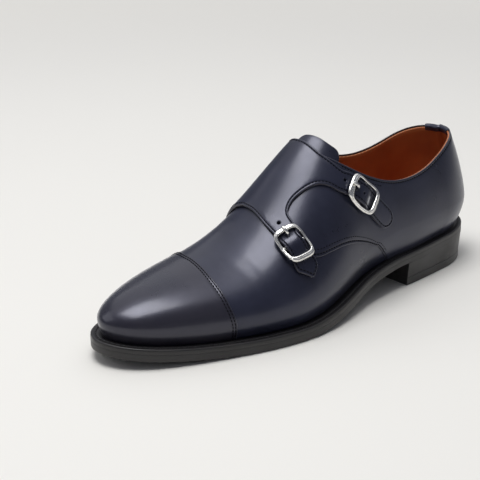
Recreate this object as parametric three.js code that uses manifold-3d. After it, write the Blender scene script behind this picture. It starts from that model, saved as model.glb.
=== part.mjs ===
// Double monk strap shoe with a cap toe, left foot, EU 43 / UK 9.
// Millimetres, +Z up, toe toward -Y, heel toward +Y, buckles on the lateral side at +X.
// A place on the shoe is (t, side, v): t runs 0..1 from the heel's back to the toe's tip, side is
// +1 lateral or -1 medial, and v runs 0..1 from the feather edge, where the upper meets the sole,
// up to the crest. Every upper piece is an offset of that one form.

import * as THREE from 'three';
import { mergeVertices } from 'three/addons/utils/BufferGeometryUtils.js';
import Module from 'manifold-3d';

const wasm = await Module();
wasm.setup();

// ---- driving sizes ----
const FORM_LENGTH = 298;        // heel's back to toe's tip along the upper
const GAP = 0.3;                // between neighbouring pieces
const UPPER_WALL = 2.2;         // vamp and quarters with their lining
const FLAP_THICK = 2.0;         // flap and straps
const TONGUE_THICK = 1.8;
const INSOLE_THICK = 3.0;
const OUTSOLE_FORE = 5.0;       // outsole edge thickness, forefoot and heel
const OUTSOLE_HEEL = 4.0;
const SOLE_EDGE_FORE = 8.4;     // outsole and welt together
const SOLE_EDGE_HEEL = 7.0;
const HEEL_BREAST_S = 76;       // the heel's front face, from the heel's back
const HEEL_HEIGHT = 16.6;       // under the outsole, at the breast
const HEEL_TILT = 2.5;          // how much higher the seat is at the back
const TOP_PIECE_THICK = 5.5;    // rubber top piece under the heel
const HEEL_TAPER = 0.97;        // width at the floor over width at the outsole
const TREAD_BACK_S = 188;       // the tread is flat between these two
const TREAD_FRONT_S = 206;
const TOE_SPRING = 6.5;
const EDGE_MARGIN_FORE = 7.5;   // sole edge outside the feather edge
const EDGE_MARGIN_HEEL = 4.5;
const WELT_INSIDE = 3.0;        // how far the welt runs in under the upper
const TOE_ROUND_S = 203;        // the toe's rounding starts here
const HEEL_ROUND = 34;          // the heel's rounding ends here
const HEEL_FAN = 34;            // how far the crest starts in front of the heel's back
const TOE_FAN = 30;             // how far the crest ends behind the toe's tip
const LOW_SHARE = 0.22;         // share of v that the lowest, outward part of a rib takes

// ---- the form: one row for each station ----
// s: distance from the heel's back; lateral, medial: feather edge's half widths;
// bulgeOut, bulgeIn: how far the rib leans out past the feather edge, lateral and medial;
// wide: height of the widest place; crestX, crestZ: the crest; round, full: the rib's exponents
const STATION_COLUMNS = [
  's', 'lateral', 'medial', 'bulgeOut', 'bulgeIn', 'wide', 'crestX', 'crestZ', 'round', 'full',
];
const STATION_ROWS = [
  [0, 26.5, 27.5, 5.8, 3.0, 20.0, 0.0, 125.0, 1.30, 1.70],
  [30, 28.0, 29.0, 5.4, 3.5, 20.0, 0.0, 125.0, 1.30, 1.70],
  [60, 31.5, 29.0, 4.5, 4.0, 20.0, -1.0, 125.0, 1.30, 1.70],
  [90, 33.0, 26.0, 4.5, 6.0, 20.0, -2.0, 123.5, 1.35, 1.75],
  [120, 36.0, 24.5, 5.0, 8.0, 19.0, -4.0, 118.5, 1.45, 1.85],
  [150, 44.0, 26.5, 5.0, 7.5, 18.0, -6.0, 99.5, 1.55, 1.95],
  [180, 48.0, 33.5, 4.5, 5.5, 15.0, -7.0, 74.0, 1.70, 2.00],
  [205, 45.0, 39.0, 4.0, 4.0, 13.0, -7.5, 57.0, 1.85, 2.05],
  [230, 40.0, 41.5, 3.5, 3.2, 11.5, -7.5, 48.5, 2.00, 2.15],
  [255, 36.5, 41.5, 3.2, 3.0, 10.5, -7.0, 44.0, 2.10, 2.25],
  [275, 35.0, 41.0, 3.0, 3.0, 10.0, -6.5, 40.5, 2.10, 2.30],
  [298, 35.0, 40.5, 3.0, 3.0, 10.0, -6.0, 37.0, 2.10, 2.30],
];
const STATIONS = STATION_ROWS.map((row) => Object.fromEntries(row.map((x, i) => [STATION_COLUMNS[i], x])));

// The collar's height over the floor along the shoe, on either side.
const COLLAR = [
  { s: -5, lateral: 93.0, medial: 94.0 },
  { s: 20, lateral: 89.5, medial: 89.5 },
  { s: 45, lateral: 80.0, medial: 81.5 },
  { s: 70, lateral: 75.5, medial: 79.0 },
  { s: 95, lateral: 79.0, medial: 84.0 },
  { s: 120, lateral: 91.0, medial: 94.0 },
  { s: 140, lateral: 104.0, medial: 106.0 },
  { s: 165, lateral: 122.0, medial: 122.0 },
];

// ---- small maths ----
const clamp = (x, lo, hi) => Math.min(Math.max(x, lo), hi);
const ease = (x) => {
  const c = clamp(x, 0, 1);
  return c * c * (3 - 2 * c);
};

/** Natural cubic spline through one column of a table, straight beyond its ends. */
function columnSpline(rows, column) {
  const xs = rows.map((row) => row.s);
  const ys = rows.map((row) => row[column]);
  const last = xs.length - 1;
  const width = xs.slice(1).map((x, i) => x - xs[i]);
  const bend = new Array(last + 1).fill(0);
  const upper = new Array(last + 1).fill(0);
  for (let i = 1; i < last; i += 1) {
    const jump = (ys[i + 1] - ys[i]) / width[i] - (ys[i] - ys[i - 1]) / width[i - 1];
    const pivot = 2 * (width[i - 1] + width[i]) - width[i - 1] * upper[i - 1];
    upper[i] = width[i] / pivot;
    bend[i] = (6 * jump - width[i - 1] * bend[i - 1]) / pivot;
  }
  for (let i = last - 1; i > 0; i -= 1) bend[i] -= upper[i] * bend[i + 1];
  const startSlope = (ys[1] - ys[0]) / width[0] - (width[0] * bend[1]) / 6;
  const endSlope = (ys[last] - ys[last - 1]) / width[last - 1] + (width[last - 1] * bend[last - 1]) / 6;
  return (x) => {
    if (x <= xs[0]) return ys[0] + startSlope * (x - xs[0]);
    if (x >= xs[last]) return ys[last] + endSlope * (x - xs[last]);
    let i = 0;
    while (x > xs[i + 1]) i += 1;
    const a = x - xs[i];
    const b = xs[i + 1] - x;
    const w = width[i];
    const curve = (bend[i] * b ** 3 + bend[i + 1] * a ** 3) / (6 * w);
    return curve + (ys[i] / w - (bend[i] * w) / 6) * b + (ys[i + 1] / w - (bend[i + 1] * w) / 6) * a;
  };
}

const station = {};
for (const column of Object.keys(STATIONS[0])) station[column] = columnSpline(STATIONS, column);
const collar = { lateral: columnSpline(COLLAR, 'lateral'), medial: columnSpline(COLLAR, 'medial') };

// ---- the form ----

/** Height of the outsole's underside over the floor: heel seat, arch, flat tread, toe spring. */
function soleBottom(s) {
  const arch = ease((TREAD_BACK_S - s) / (TREAD_BACK_S - HEEL_BREAST_S)) ** 0.9;
  const seat = clamp((HEEL_BREAST_S - s) / HEEL_BREAST_S, 0, 1.1);
  const spring = clamp((s - TREAD_FRONT_S) / (FORM_LENGTH - TREAD_FRONT_S), 0, 1.1);
  return HEEL_HEIGHT * arch + HEEL_TILT * seat + TOE_SPRING * spring ** 2;
}

/** A thickness that changes from the heel's value to the forefoot's along the arch. */
function alongArch(s, atHeel, atFore) {
  return atHeel + (atFore - atHeel) * ease((s - HEEL_BREAST_S) / (TREAD_BACK_S - HEEL_BREAST_S));
}

/** Height of the welt's top, where the upper stands. */
function featherHeight(s) {
  return soleBottom(s) + alongArch(s, SOLE_EDGE_HEEL, SOLE_EDGE_FORE);
}

/** Share of the half width that the roundings of toe and heel leave. */
function roundOff(s) {
  const toe = clamp((s - TOE_ROUND_S) / (FORM_LENGTH - TOE_ROUND_S), 0, 1);
  const heel = clamp((HEEL_ROUND - s) / HEEL_ROUND, 0, 1);
  return Math.max(1 - toe ** 2.1, 0) ** (1 / 1.9) * Math.max(1 - heel ** 2.1, 0) ** (1 / 2.1);
}

/** The feather edge in plan, as { x, s }. Past either end the other side goes on. */
function featherEdge(t, side) {
  if (t < 0) return featherEdge(-t, -side);
  if (t > 1) return featherEdge(2 - t, -side);
  const s = (FORM_LENGTH * (1 - Math.cos(Math.PI * t))) / 2;
  const middle = station.crestX(s) * ease((s - 150) / 100);
  const edge = side > 0 ? station.lateral(s) : -station.medial(s);
  return { x: middle + (edge - middle) * roundOff(s), s };
}

/** The outward direction of the feather edge in plan. */
function edgeNormal(t, side) {
  const step = 1e-4;
  const a = featherEdge(t - step, side);
  const b = featherEdge(t + step, side);
  const length = Math.hypot(b.x - a.x, b.s - a.s);
  return { x: (side * (b.s - a.s)) / length, s: (-side * (b.x - a.x)) / length };
}

/** Where along the foot the rib that starts at s reaches the crest. */
function crestPlace(s) {
  const reach = 105;
  const back = clamp((reach - s) / reach, 0, 1);
  const front = clamp((s - FORM_LENGTH + reach) / reach, 0, 1);
  return s + HEEL_FAN * back ** 3 - TOE_FAN * front ** 3;
}

/** A point of the shoe's frame: x stays, the toe points to -Y. */
const place = (x, s, z) => new THREE.Vector3(x, FORM_LENGTH / 2 - s, z);

/** A point of the form itself. */
function formPoint(t, side, v) {
  if (v > 1) return formPoint(t, -side, 2 - v);
  if (t < 0) return formPoint(-t, -side, v);
  if (t > 1) return formPoint(2 - t, -side, v);
  const edge = featherEdge(t, side);
  const out = edgeNormal(t, side);
  const bulge = side > 0 ? station.bulgeOut(edge.s) : station.bulgeIn(edge.s);
  const wide = station.wide(edge.s);
  const base = featherHeight(edge.s);
  if (v < LOW_SHARE) {
    const lean = bulge * Math.sin(((Math.PI / 2) * v) / LOW_SHARE);
    return place(edge.x + lean * out.x, edge.s + lean * out.s, base + (wide * v) / LOW_SHARE);
  }
  const angle = (((v - LOW_SHARE) / (1 - LOW_SHARE)) * Math.PI) / 2;
  const top = crestPlace(edge.s);
  const across = Math.max(Math.cos(angle), 0) ** (2 / station.full(top));
  const rise = Math.sin(angle) ** (2 / station.round(top));
  const wideX = edge.x + bulge * out.x;
  const wideS = edge.s + bulge * out.s;
  const x = station.crestX(top) + (wideX - station.crestX(top)) * across;
  const s = top + (wideS - top) * across;
  const slope = station.crestZ(top + 0.5) - station.crestZ(top - 0.5);
  const crown = station.crestZ(top) + slope * (s - top);
  return place(x, s, base + wide + (crown - base - wide) * rise);
}

/** The form's outward normal. */
function formNormal(t, side, v) {
  const nearCrest = 0.985;
  if (v > nearCrest) {
    const both = formNormal(t, side, nearCrest).add(formNormal(t, -side, nearCrest));
    const blend = (v - nearCrest) / (1 - nearCrest);
    return both.normalize().lerp(formNormal(t, side, nearCrest), 1 - blend).normalize();
  }
  const step = 0.004;
  const along = formPoint(t + step, side, v).sub(formPoint(t - step, side, v));
  const up = formPoint(t, side, v + step).sub(formPoint(t, side, Math.max(v - step, 0)));
  return along.cross(up).multiplyScalar(-side).normalize();
}

/** A point that stands off the form by a distance. */
function offForm(t, side, v, distance) {
  return formPoint(t, side, v).addScaledVector(formNormal(t, side, v), distance);
}

// ---- closed solids from rings and patches ----

/** A manifold solid from points and triangles. Points that coincide become one. */
function solidFrom(points, triangles) {
  const geometry = new THREE.BufferGeometry();
  const flat = points.flatMap((p) => [p.x, p.y, p.z]);
  geometry.setAttribute('position', new THREE.Float32BufferAttribute(flat, 3));
  geometry.setIndex(triangles.flat());
  return solidFromGeometry(geometry);
}

/** Six times the volume that the triangles close off, negative when they face inwards. */
function signedVolume(position, index) {
  const corner = (i) => new THREE.Vector3().fromArray(position, 3 * index[i]);
  let sum = 0;
  for (let i = 0; i < index.length; i += 3) sum += corner(i).dot(corner(i + 1).cross(corner(i + 2)));
  return sum;
}

function solidFromGeometry(source) {
  const bare = source.clone();
  bare.deleteAttribute('normal');
  bare.deleteAttribute('uv');
  const merged = mergeVertices(bare, 1e-4);
  const position = merged.attributes.position.array;
  const all = Array.from(merged.index.array);
  const index = [];
  for (let i = 0; i < all.length; i += 3) {
    const [a, b, c] = all.slice(i, i + 3);
    if (a !== b && b !== c && c !== a) index.push(a, b, c);
  }
  if (signedVolume(position, index) < 0) index.reverse();
  return new wasm.Manifold(new wasm.Mesh({
    numProp: 3,
    vertProperties: new Float32Array(position),
    triVerts: new Uint32Array(index),
  }));
}

/** Both sides' points of a closed loop: lateral from heel to front, medial back to the heel. */
function loop(count, tEnd, pointAt) {
  const points = [];
  for (let i = 0; i <= count; i += 1) points.push(pointAt((tEnd * i) / count, 1));
  const firstBack = tEnd === 1 ? count - 1 : count;
  for (let i = firstBack; i > 0; i -= 1) points.push(pointAt((tEnd * i) / count, -1));
  return points;
}

/** Walls between successive loops. */
function wallTriangles(loops, closed) {
  const size = loops[0].length;
  const triangles = [];
  const rows = closed ? loops.length : loops.length - 1;
  for (let row = 0; row < rows; row += 1) {
    for (let i = 0; i < size; i += 1) {
      const next = (i + 1) % size;
      const low = row * size;
      const high = ((row + 1) % loops.length) * size;
      triangles.push([low + i, high + i, low + next], [low + next, high + i, high + next]);
    }
  }
  return triangles;
}

/** Straight rungs across a loop, from each lateral point to its medial partner. */
function rungTriangles(size, start, upward) {
  const triangles = [];
  for (let i = 0; i < size / 2; i += 1) {
    const partner = (size - i) % size;
    const after = (size - i - 1) % size;
    const one = [start + i, start + i + 1, start + after];
    const two = [start + i, start + after, start + partner];
    for (const triangle of [one, two]) {
      if (new Set(triangle).size === 3) triangles.push(upward ? triangle.reverse() : triangle);
    }
  }
  return triangles;
}

/** A solid whose walls run through the loops, closed by rungs at the first and the last. */
function loftSolid(loops) {
  const size = loops[0].length;
  const triangles = wallTriangles(loops, false);
  triangles.push(...rungTriangles(size, 0, false));
  triangles.push(...rungTriangles(size, (loops.length - 1) * size, true));
  return solidFrom(loops.flat(), triangles);
}

/** A closed ring-shaped solid whose section runs through the loops. */
function hoopSolid(loops) {
  return solidFrom(loops.flat(), wallTriangles(loops, true));
}

/** A sheet over a patch of the form: pointAt(i, j, layer) with layer 0 inside, 1 outside. */
function sheetSolid(columns, rows, pointAt) {
  const points = [];
  for (const layer of [0, 1]) {
    for (let i = 0; i <= columns; i += 1) {
      for (let j = 0; j <= rows; j += 1) points.push(pointAt(i, j, layer));
    }
  }
  const at = (i, j, layer) => layer * (columns + 1) * (rows + 1) + i * (rows + 1) + j;
  const triangles = [];
  const quad = (a, b, c, d) => triangles.push([a, b, c], [a, c, d]);
  for (let i = 0; i < columns; i += 1) {
    for (let j = 0; j < rows; j += 1) {
      quad(at(i, j, 1), at(i, j + 1, 1), at(i + 1, j + 1, 1), at(i + 1, j, 1));
      quad(at(i, j, 0), at(i + 1, j, 0), at(i + 1, j + 1, 0), at(i, j + 1, 0));
    }
    quad(at(i, 0, 0), at(i, 0, 1), at(i + 1, 0, 1), at(i + 1, 0, 0));
    quad(at(i, rows, 0), at(i + 1, rows, 0), at(i + 1, rows, 1), at(i, rows, 1));
  }
  for (let j = 0; j < rows; j += 1) {
    quad(at(0, j, 0), at(0, j + 1, 0), at(0, j + 1, 1), at(0, j, 1));
    quad(at(columns, j, 0), at(columns, j, 1), at(columns, j + 1, 1), at(columns, j + 1, 0));
  }
  return solidFrom(points, triangles);
}

function geometryOf(solid) {
  const mesh = solid.getMesh();
  const geometry = new THREE.BufferGeometry();
  geometry.setAttribute('position', new THREE.Float32BufferAttribute(Array.from(mesh.vertProperties), 3));
  geometry.setIndex(Array.from(mesh.triVerts));
  geometry.computeVertexNormals();
  return geometry;
}

// ---- sole pieces ----
const SOLE_STEPS = 34;

/** The sole's edge in plan, in or out of its outline by a distance. */
function soleEdge(t, side, inward) {
  const edge = featherEdge(t, side);
  const out = edgeNormal(t, side);
  const blend = ease((edge.s - 60) / 90);
  const margin = EDGE_MARGIN_HEEL + (EDGE_MARGIN_FORE - EDGE_MARGIN_HEEL) * blend - inward;
  return { x: edge.x + out.x * margin, s: edge.s + out.s * margin };
}

function soleLoop(inward, heightAt) {
  return loop(SOLE_STEPS, 1, (t, side) => {
    const p = soleEdge(t, side, inward);
    return place(p.x, p.s, heightAt(p.s));
  });
}

const outsoleTop = (s) => soleBottom(s) + alongArch(s, OUTSOLE_HEEL, OUTSOLE_FORE);

/** How far in from the sole's edge the welt's inner edge lies. */
const WELT_WIDTH = EDGE_MARGIN_FORE + WELT_INSIDE;

function buildOutsole() {
  const inner = WELT_WIDTH + GAP;
  return loftSolid([
    soleLoop(1.0, soleBottom),
    soleLoop(0, (s) => soleBottom(s) + 1.2),
    soleLoop(0, outsoleTop),
    soleLoop(inner, outsoleTop),
    soleLoop(inner, (s) => featherHeight(s) - GAP / 2),
  ]);
}

function buildWelt() {
  const low = (s) => outsoleTop(s) + GAP;
  return hoopSolid([
    soleLoop(0.4, low),
    soleLoop(0.4, (s) => featherHeight(s) - 0.5),
    soleLoop(0.9, featherHeight),
    soleLoop(WELT_WIDTH, featherHeight),
    soleLoop(WELT_WIDTH, low),
  ]);
}

const HEEL_DRAW = 30;           // the heel's back draws in by its taper's share of this

/** A loop round the heel block, straight across at the breast. */
function heelLoop(taper, heightAt) {
  const steps = 16;
  const breast = Math.acos(1 - (2 * HEEL_BREAST_S) / FORM_LENGTH) / Math.PI;
  return loop(steps, breast, (t, side) => {
    const p = soleEdge(t, side, 0.5);
    const s = Math.min(p.s, HEEL_BREAST_S);
    const back = (1 - taper) * HEEL_DRAW;
    return place(p.x * taper, s + (1 - s / HEEL_BREAST_S) * back, heightAt(s));
  });
}

function buildHeelTopPiece() {
  const arris = 0.8;
  return loftSolid([
    heelLoop(HEEL_TAPER - 0.01, () => 0),
    heelLoop(HEEL_TAPER, () => arris),
    heelLoop(HEEL_TAPER, () => TOP_PIECE_THICK),
  ]);
}

function buildHeelStack() {
  return loftSolid([
    heelLoop(HEEL_TAPER, () => TOP_PIECE_THICK + GAP),
    heelLoop(1, (s) => soleBottom(s) - GAP),
  ]);
}

// ---- upper pieces ----
const UPPER_STEPS = 38;
const UPPER_ROWS = 13;

/** A closed solid of the whole form, off the form by a distance, its floor moved by a drop. */
function formSolid(distance, drop) {
  const loops = [];
  for (let row = 0; row < UPPER_ROWS; row += 1) {
    const v = row / UPPER_ROWS;
    loops.push(loop(UPPER_STEPS, 1, (t, side) => {
      const p = offForm(t, side, v, distance);
      return row === 0 ? p.setZ(p.z + drop) : p;
    }));
  }
  loops.push(loop(UPPER_STEPS, 1, (t, side) => {
    const p = offForm(t, side, 1, distance);
    const other = offForm(t, -side, 1, distance);
    return p.add(other).multiplyScalar(0.5);
  }));
  return loftSolid(loops);
}

/** Everything above the collar line, as a solid to cut with. */
function collarCutter() {
  const sheetTop = 160;
  const sides = 12;
  const steps = 34;
  const halfWidth = 60;
  const back = -10;
  const front = 162;
  const blendHalf = 16;
  return sheetSolid(steps, sides, (i, j, layer) => {
    const s = back + ((front - back) * i) / steps;
    const x = halfWidth * ((2 * j) / sides - 1);
    const blend = ease((x + blendHalf) / (2 * blendHalf));
    const line = collar.medial(s) + (collar.lateral(s) - collar.medial(s)) * blend;
    return place(x, s, layer === 1 ? sheetTop : line);
  });
}

/** The throat under the flap, between the two quarters: a slot that narrows toward the toe. */
function throatCutter() {
  const back = 130;
  const front = 173;
  const middleX = -7;
  const endRadius = 3;
  const floorZ = 48;
  const depth = 90;
  const slot = new THREE.Shape();
  slot.moveTo(middleX - 7, back);
  slot.lineTo(middleX - endRadius, front);
  slot.absarc(middleX, front, endRadius, Math.PI, 0, true);
  slot.lineTo(middleX + 11, back);
  slot.closePath();
  const geometry = new THREE.ExtrudeGeometry(slot, { depth, bevelEnabled: false, curveSegments: 8 });
  geometry.scale(1, -1, 1);
  geometry.translate(0, FORM_LENGTH / 2, floorZ);
  return solidFromGeometry(geometry);
}

function buildUpper() {
  const outer = formSolid(0, GAP);
  const inner = formSolid(-UPPER_WALL, -6);
  return outer.subtract(inner).subtract(collarCutter()).subtract(throatCutter());
}

function buildInsole() {
  const inset = -(UPPER_WALL + GAP + 0.1);
  const heightOf = (t, side, lift) => {
    const p = offForm(t, side, 0.03, inset);
    const s = FORM_LENGTH / 2 - p.y;
    return p.setZ(featherHeight(s) + GAP + lift);
  };
  return loftSolid([
    loop(SOLE_STEPS, 1, (t, side) => heightOf(t, side, 0)),
    loop(SOLE_STEPS, 1, (t, side) => heightOf(t, side, INSOLE_THICK)),
  ]);
}

/** t of the feather edge at a distance from the heel's back. */
const tAt = (s) => Math.acos(1 - (2 * s) / FORM_LENGTH) / Math.PI;

// The tongue: its back edge's s by its place across, -1 medial to 1 lateral, and its other sizes.
const TONGUE_BACK = [
  { s: -1, edge: 150 },
  { s: -0.7, edge: 141 },
  { s: -0.35, edge: 134.5 },
  { s: 0, edge: 131.8 },
  { s: 0.35, edge: 129.6 },
  { s: 0.7, edge: 126.5 },
  { s: 0.92, edge: 126.6 },
  { s: 1, edge: 130 },
];
const TONGUE_FRONT_S = 211;
const TONGUE_HALF = 0.3;        // share of a rib that the tongue covers on either side
const tongueBack = columnSpline(TONGUE_BACK, 'edge');

function buildTongue() {
  const front = tAt(TONGUE_FRONT_S);
  const columns = 16;
  const rows = 10;
  const outside = -(UPPER_WALL + GAP + 0.1);
  return sheetSolid(columns, rows, (i, j, layer) => {
    const along = i / columns;
    const across = (2 * j) / rows - 1;
    const v = 1 - Math.abs(across) * TONGUE_HALF;
    const back = tAt(tongueBack(across));
    const t = back + (front - back) * along;
    return offForm(t, across >= 0 ? 1 : -1, v, outside - (layer === 0 ? TONGUE_THICK : 0));
  });
}

// ---- buckles: a place near one is (a, b, h) ----
// a runs along the strap from the instep down to its tail, b across it, h off the form.
const BAR_END_H = 4.5;         // near and far bars lie over the strap
const SIDE_BAR_H = 2.4;        // side bars at their lowest
const BAR_MIDDLE_H = 1.5;      // the centre bar passes under the strap
const BAR_HALF_HIGH = 1.15;
const BAR_RISE = 1.5;          // how steadily the side bars climb to the end bars
const FRAME_HALF_A = 10.1;     // the bars' middle lines
const FRAME_HALF_B = 8.5;
const FRAME_CORNER = 4;        // exponent of the frame's cushion shape
const STRAP_HALF = 6.5;
const SIDE_BAR_ROOM = 8;       // the strap's edge is cut back beside the side bars
const SIDE_CUT_SHORT = 0.4;     // that cut stops this short of the end bars, both ends together
const HUMP = 2.6;              // how far the strap rises over the centre bar
const HUMP_HALF = 5.6;           // along the strap, to half of that rise
const CENTRE_BAR_RADIUS = 1.0;
const SIDE_BAR_HALF = 1.05;    // half widths of the bars seen from above
const END_BAR_HALF = 1.6;

const BUCKLES = [
  { name: 'upper', s: 121.2, v: 0.524, turn: 44, size: 1.1 },
  { name: 'lower', s: 181.2, v: 0.618, turn: 4, size: 1 },
];

/** The buckle's middle and the strap's directions there, on the form. */
function buckleFrame(buckle) {
  const t = tAt(buckle.s);
  const centre = formPoint(t, 1, buckle.v);
  const normal = formNormal(t, 1, buckle.v);
  const up = formPoint(t, 1, buckle.v + 0.01).sub(formPoint(t, 1, buckle.v - 0.01));
  up.addScaledVector(normal, -up.dot(normal)).normalize();
  const along = up.negate().applyAxisAngle(normal, THREE.MathUtils.degToRad(buckle.turn));
  return { ...buckle, t, centre, normal, along, across: normal.clone().cross(along) };
}

const buckles = BUCKLES.map(buckleFrame);

/** The point at (a, b) times the buckle's size from its middle, h off the form. */
function nearBuckle(buckle, a, b, h) {
  let t = buckle.t;
  let v = buckle.v;
  const step = 1e-3;
  const miss = (p) => {
    const from = p.sub(buckle.centre);
    return [from.dot(buckle.along) - a * buckle.size, from.dot(buckle.across) - b * buckle.size];
  };
  for (let round = 0; round < 6; round += 1) {
    const [fa, fb] = miss(formPoint(t, 1, v));
    const [ta, tb] = miss(formPoint(t + step, 1, v)).map((x, i) => (x - [fa, fb][i]) / step);
    const [va, vb] = miss(formPoint(t, 1, v + step)).map((x, i) => (x - [fa, fb][i]) / step);
    const det = ta * vb - va * tb;
    t -= (fa * vb - fb * va) / det;
    v -= (ta * fb - tb * fa) / det;
  }
  return offForm(t, 1, v, h);
}

/** How far a strap rises over the centre bars at a point of the form. */
function strapHump(p) {
  let rise = 0;
  for (const buckle of buckles) {
    const from = p.clone().sub(buckle.centre);
    const a = from.dot(buckle.along) / buckle.size;
    const b = from.dot(buckle.across) / buckle.size;
    if (Math.abs(b) < 14 && Math.abs(a) < 20) rise += HUMP / (1 + (a / HUMP_HALF) ** 4);
  }
  return rise;
}

// The flap's outline in side view as (s, z), from the crest down the front edge and back.
function lateralFlapShape() {
  const shape = new THREE.Shape();
  shape.moveTo(183.5, 130);
  shape.lineTo(184.3, 71);
  shape.quadraticCurveTo(186.3, 66, 186.0, 58);
  shape.lineTo(187.0, 45.5);
  shape.lineTo(179.8, 38.6);
  shape.lineTo(172.4, 45.0);
  shape.lineTo(173.2, 64);
  shape.bezierCurveTo(172, 78, 163, 86.2, 153.4, 86.8);
  shape.bezierCurveTo(147, 87.2, 142, 84, 135, 79.6);
  shape.lineTo(114.3, 62.2);
  shape.quadraticCurveTo(109, 56.5, 105, 50.5);
  shape.bezierCurveTo(103, 46.5, 92, 46.5, 91.8, 53);
  shape.quadraticCurveTo(95, 63, 102.0, 71.8);
  shape.lineTo(120.3, 86.6);
  shape.quadraticCurveTo(134, 93, 139.2, 104.5);
  shape.lineTo(139.2, 130);
  shape.closePath();
  return shape;
}

function medialFlapShape() {
  const shape = new THREE.Shape();
  shape.moveTo(183.5, 130);
  shape.lineTo(183.5, 70);
  shape.quadraticCurveTo(183, 55, 180.5, 47);
  shape.quadraticCurveTo(158, 52, 136, 50);
  shape.quadraticCurveTo(133, 75, 134, 92);
  shape.quadraticCurveTo(136, 99, 139.2, 104.5);
  shape.lineTo(139.2, 130);
  shape.closePath();
  return shape;
}

/** A side-view outline pushed across the shoe from its middle, to cut with. */
function sideCutter(shape, side) {
  const reach = 70;
  const middleX = -8;
  const options = { depth: reach, bevelEnabled: false, curveSegments: 7 };
  const geometry = new THREE.ExtrudeGeometry(shape, options);
  const position = geometry.attributes.position;
  for (let i = 0; i < position.count; i += 1) {
    const p = place(middleX + side * position.getZ(i), position.getX(i), position.getY(i));
    position.setXYZ(i, p.x, p.y, p.z);
  }
  return solidFromGeometry(geometry);
}

/** A box in a buckle's own directions and size, to cut with. */
function buckleBox(buckle, a, b, sizeA, sizeB) {
  const height = 14;
  const turn = new THREE.Matrix4().makeBasis(buckle.along, buckle.across, buckle.normal);
  const middle = nearBuckle(buckle, a, b, 1);
  const geometry = new THREE.BoxGeometry(sizeA * buckle.size, sizeB * buckle.size, height);
  geometry.applyMatrix4(turn);
  return solidFromGeometry(geometry.translate(middle.x, middle.y, middle.z));
}

const PRONG_HOLE_A = -6.4;      // where the prong comes up through the strap
const PRONG_HOLE = { along: 4.8, across: 2.8 };

const FLAP_BACK_S = 88;
const FLAP_FRONT_S = 190;
const FLAP_LOW_V = { lateral: 0.22, medial: 0.3 };

function buildStrapFlap() {
  const columns = 30;
  const lateralRows = 26;
  const medialRows = 8;
  const back = tAt(FLAP_BACK_S);
  const front = tAt(FLAP_FRONT_S);
  const rows = lateralRows + medialRows;
  const sheet = sheetSolid(columns, rows, (i, j, layer) => {
    const t = back + ((front - back) * i) / columns;
    const lateral = j <= lateralRows;
    const share = lateral ? 1 - j / lateralRows : (j - lateralRows) / medialRows;
    const v = 1 - share * (1 - (lateral ? FLAP_LOW_V.lateral : FLAP_LOW_V.medial));
    const side = lateral ? 1 : -1;
    const rise = lateral ? strapHump(formPoint(t, side, v)) : 0;
    return offForm(t, side, v, GAP + 0.05 + rise + (layer === 0 ? 0 : FLAP_THICK));
  });
  const outline = sideCutter(lateralFlapShape(), 1).add(sideCutter(medialFlapShape(), -1));
  let flap = sheet.intersect(outline);
  for (const buckle of buckles) {
    flap = flap.subtract(buckleBox(buckle, PRONG_HOLE_A, 0, PRONG_HOLE.along, PRONG_HOLE.across));
    for (const side of [-1, 1]) {
      const middle = side * (STRAP_HALF + SIDE_BAR_ROOM / 2);
      flap = flap.subtract(buckleBox(buckle, 0, middle, 2 * FRAME_HALF_A - SIDE_CUT_SHORT, SIDE_BAR_ROOM));
    }
  }
  return flap;
}

/** A rod through rings of points, its ends closed to their middles. */
function rodSolid(rings) {
  const size = rings[0].length;
  const points = rings.flat();
  const triangles = wallTriangles(rings, false);
  for (const [start, flip] of [[0, false], [(rings.length - 1) * size, true]]) {
    const ring = points.slice(start, start + size);
    const middle = ring.reduce((sum, p) => sum.add(p), new THREE.Vector3()).divideScalar(size);
    points.push(middle);
    for (let i = 0; i < size; i += 1) {
      const triangle = [start + i, start + ((i + 1) % size), points.length - 1];
      triangles.push(flip ? triangle.reverse() : triangle);
    }
  }
  return solidFrom(points, triangles);
}

/** The frame: a cushion-shaped hoop whose side bars dip beside the strap, and its centre bar. */
function buildBuckleFrame(buckle) {
  const steps = 32;
  const corners = 8;
  const hoop = [];
  for (let i = 0; i < steps; i += 1) {
    const angle = (2 * Math.PI * i) / steps;
    const c = Math.cos(angle);
    const s = Math.sin(angle);
    const reach = (Math.abs(c) ** FRAME_CORNER + Math.abs(s) ** FRAME_CORNER) ** (-1 / FRAME_CORNER);
    const a = FRAME_HALF_A * c * reach;
    const b = FRAME_HALF_B * s * reach;
    const middleH = SIDE_BAR_H + (BAR_END_H - SIDE_BAR_H) * Math.abs(a / FRAME_HALF_A) ** BAR_RISE;
    const halfWide = SIDE_BAR_HALF + (END_BAR_HALF - SIDE_BAR_HALF) * ease((Math.abs(c) - 0.72) / 0.28);
    const out = new THREE.Vector2(c / FRAME_HALF_A, s / FRAME_HALF_B).normalize();
    const ring = [];
    for (let k = 0; k < corners; k += 1) {
      const turn = (2 * Math.PI * k) / corners;
      const wide = halfWide * Math.cos(turn);
      const high = BAR_HALF_HIGH * Math.sin(turn);
      ring.push(nearBuckle(buckle, a + out.x * wide, b + out.y * wide, middleH + high));
    }
    hoop.push(ring);
  }
  const bar = [-1, -0.5, 0, 0.5, 1].map((share) => {
    const ring = [];
    for (let k = 0; k < 8; k += 1) {
      const turn = (2 * Math.PI * k) / 8;
      const a = CENTRE_BAR_RADIUS * Math.cos(turn);
      const h = BAR_MIDDLE_H + CENTRE_BAR_RADIUS * Math.sin(turn);
      ring.push(nearBuckle(buckle, a, share * FRAME_HALF_B, h));
    }
    return ring;
  });
  return hoopSolid(hoop).add(rodSolid(bar));
}

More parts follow.
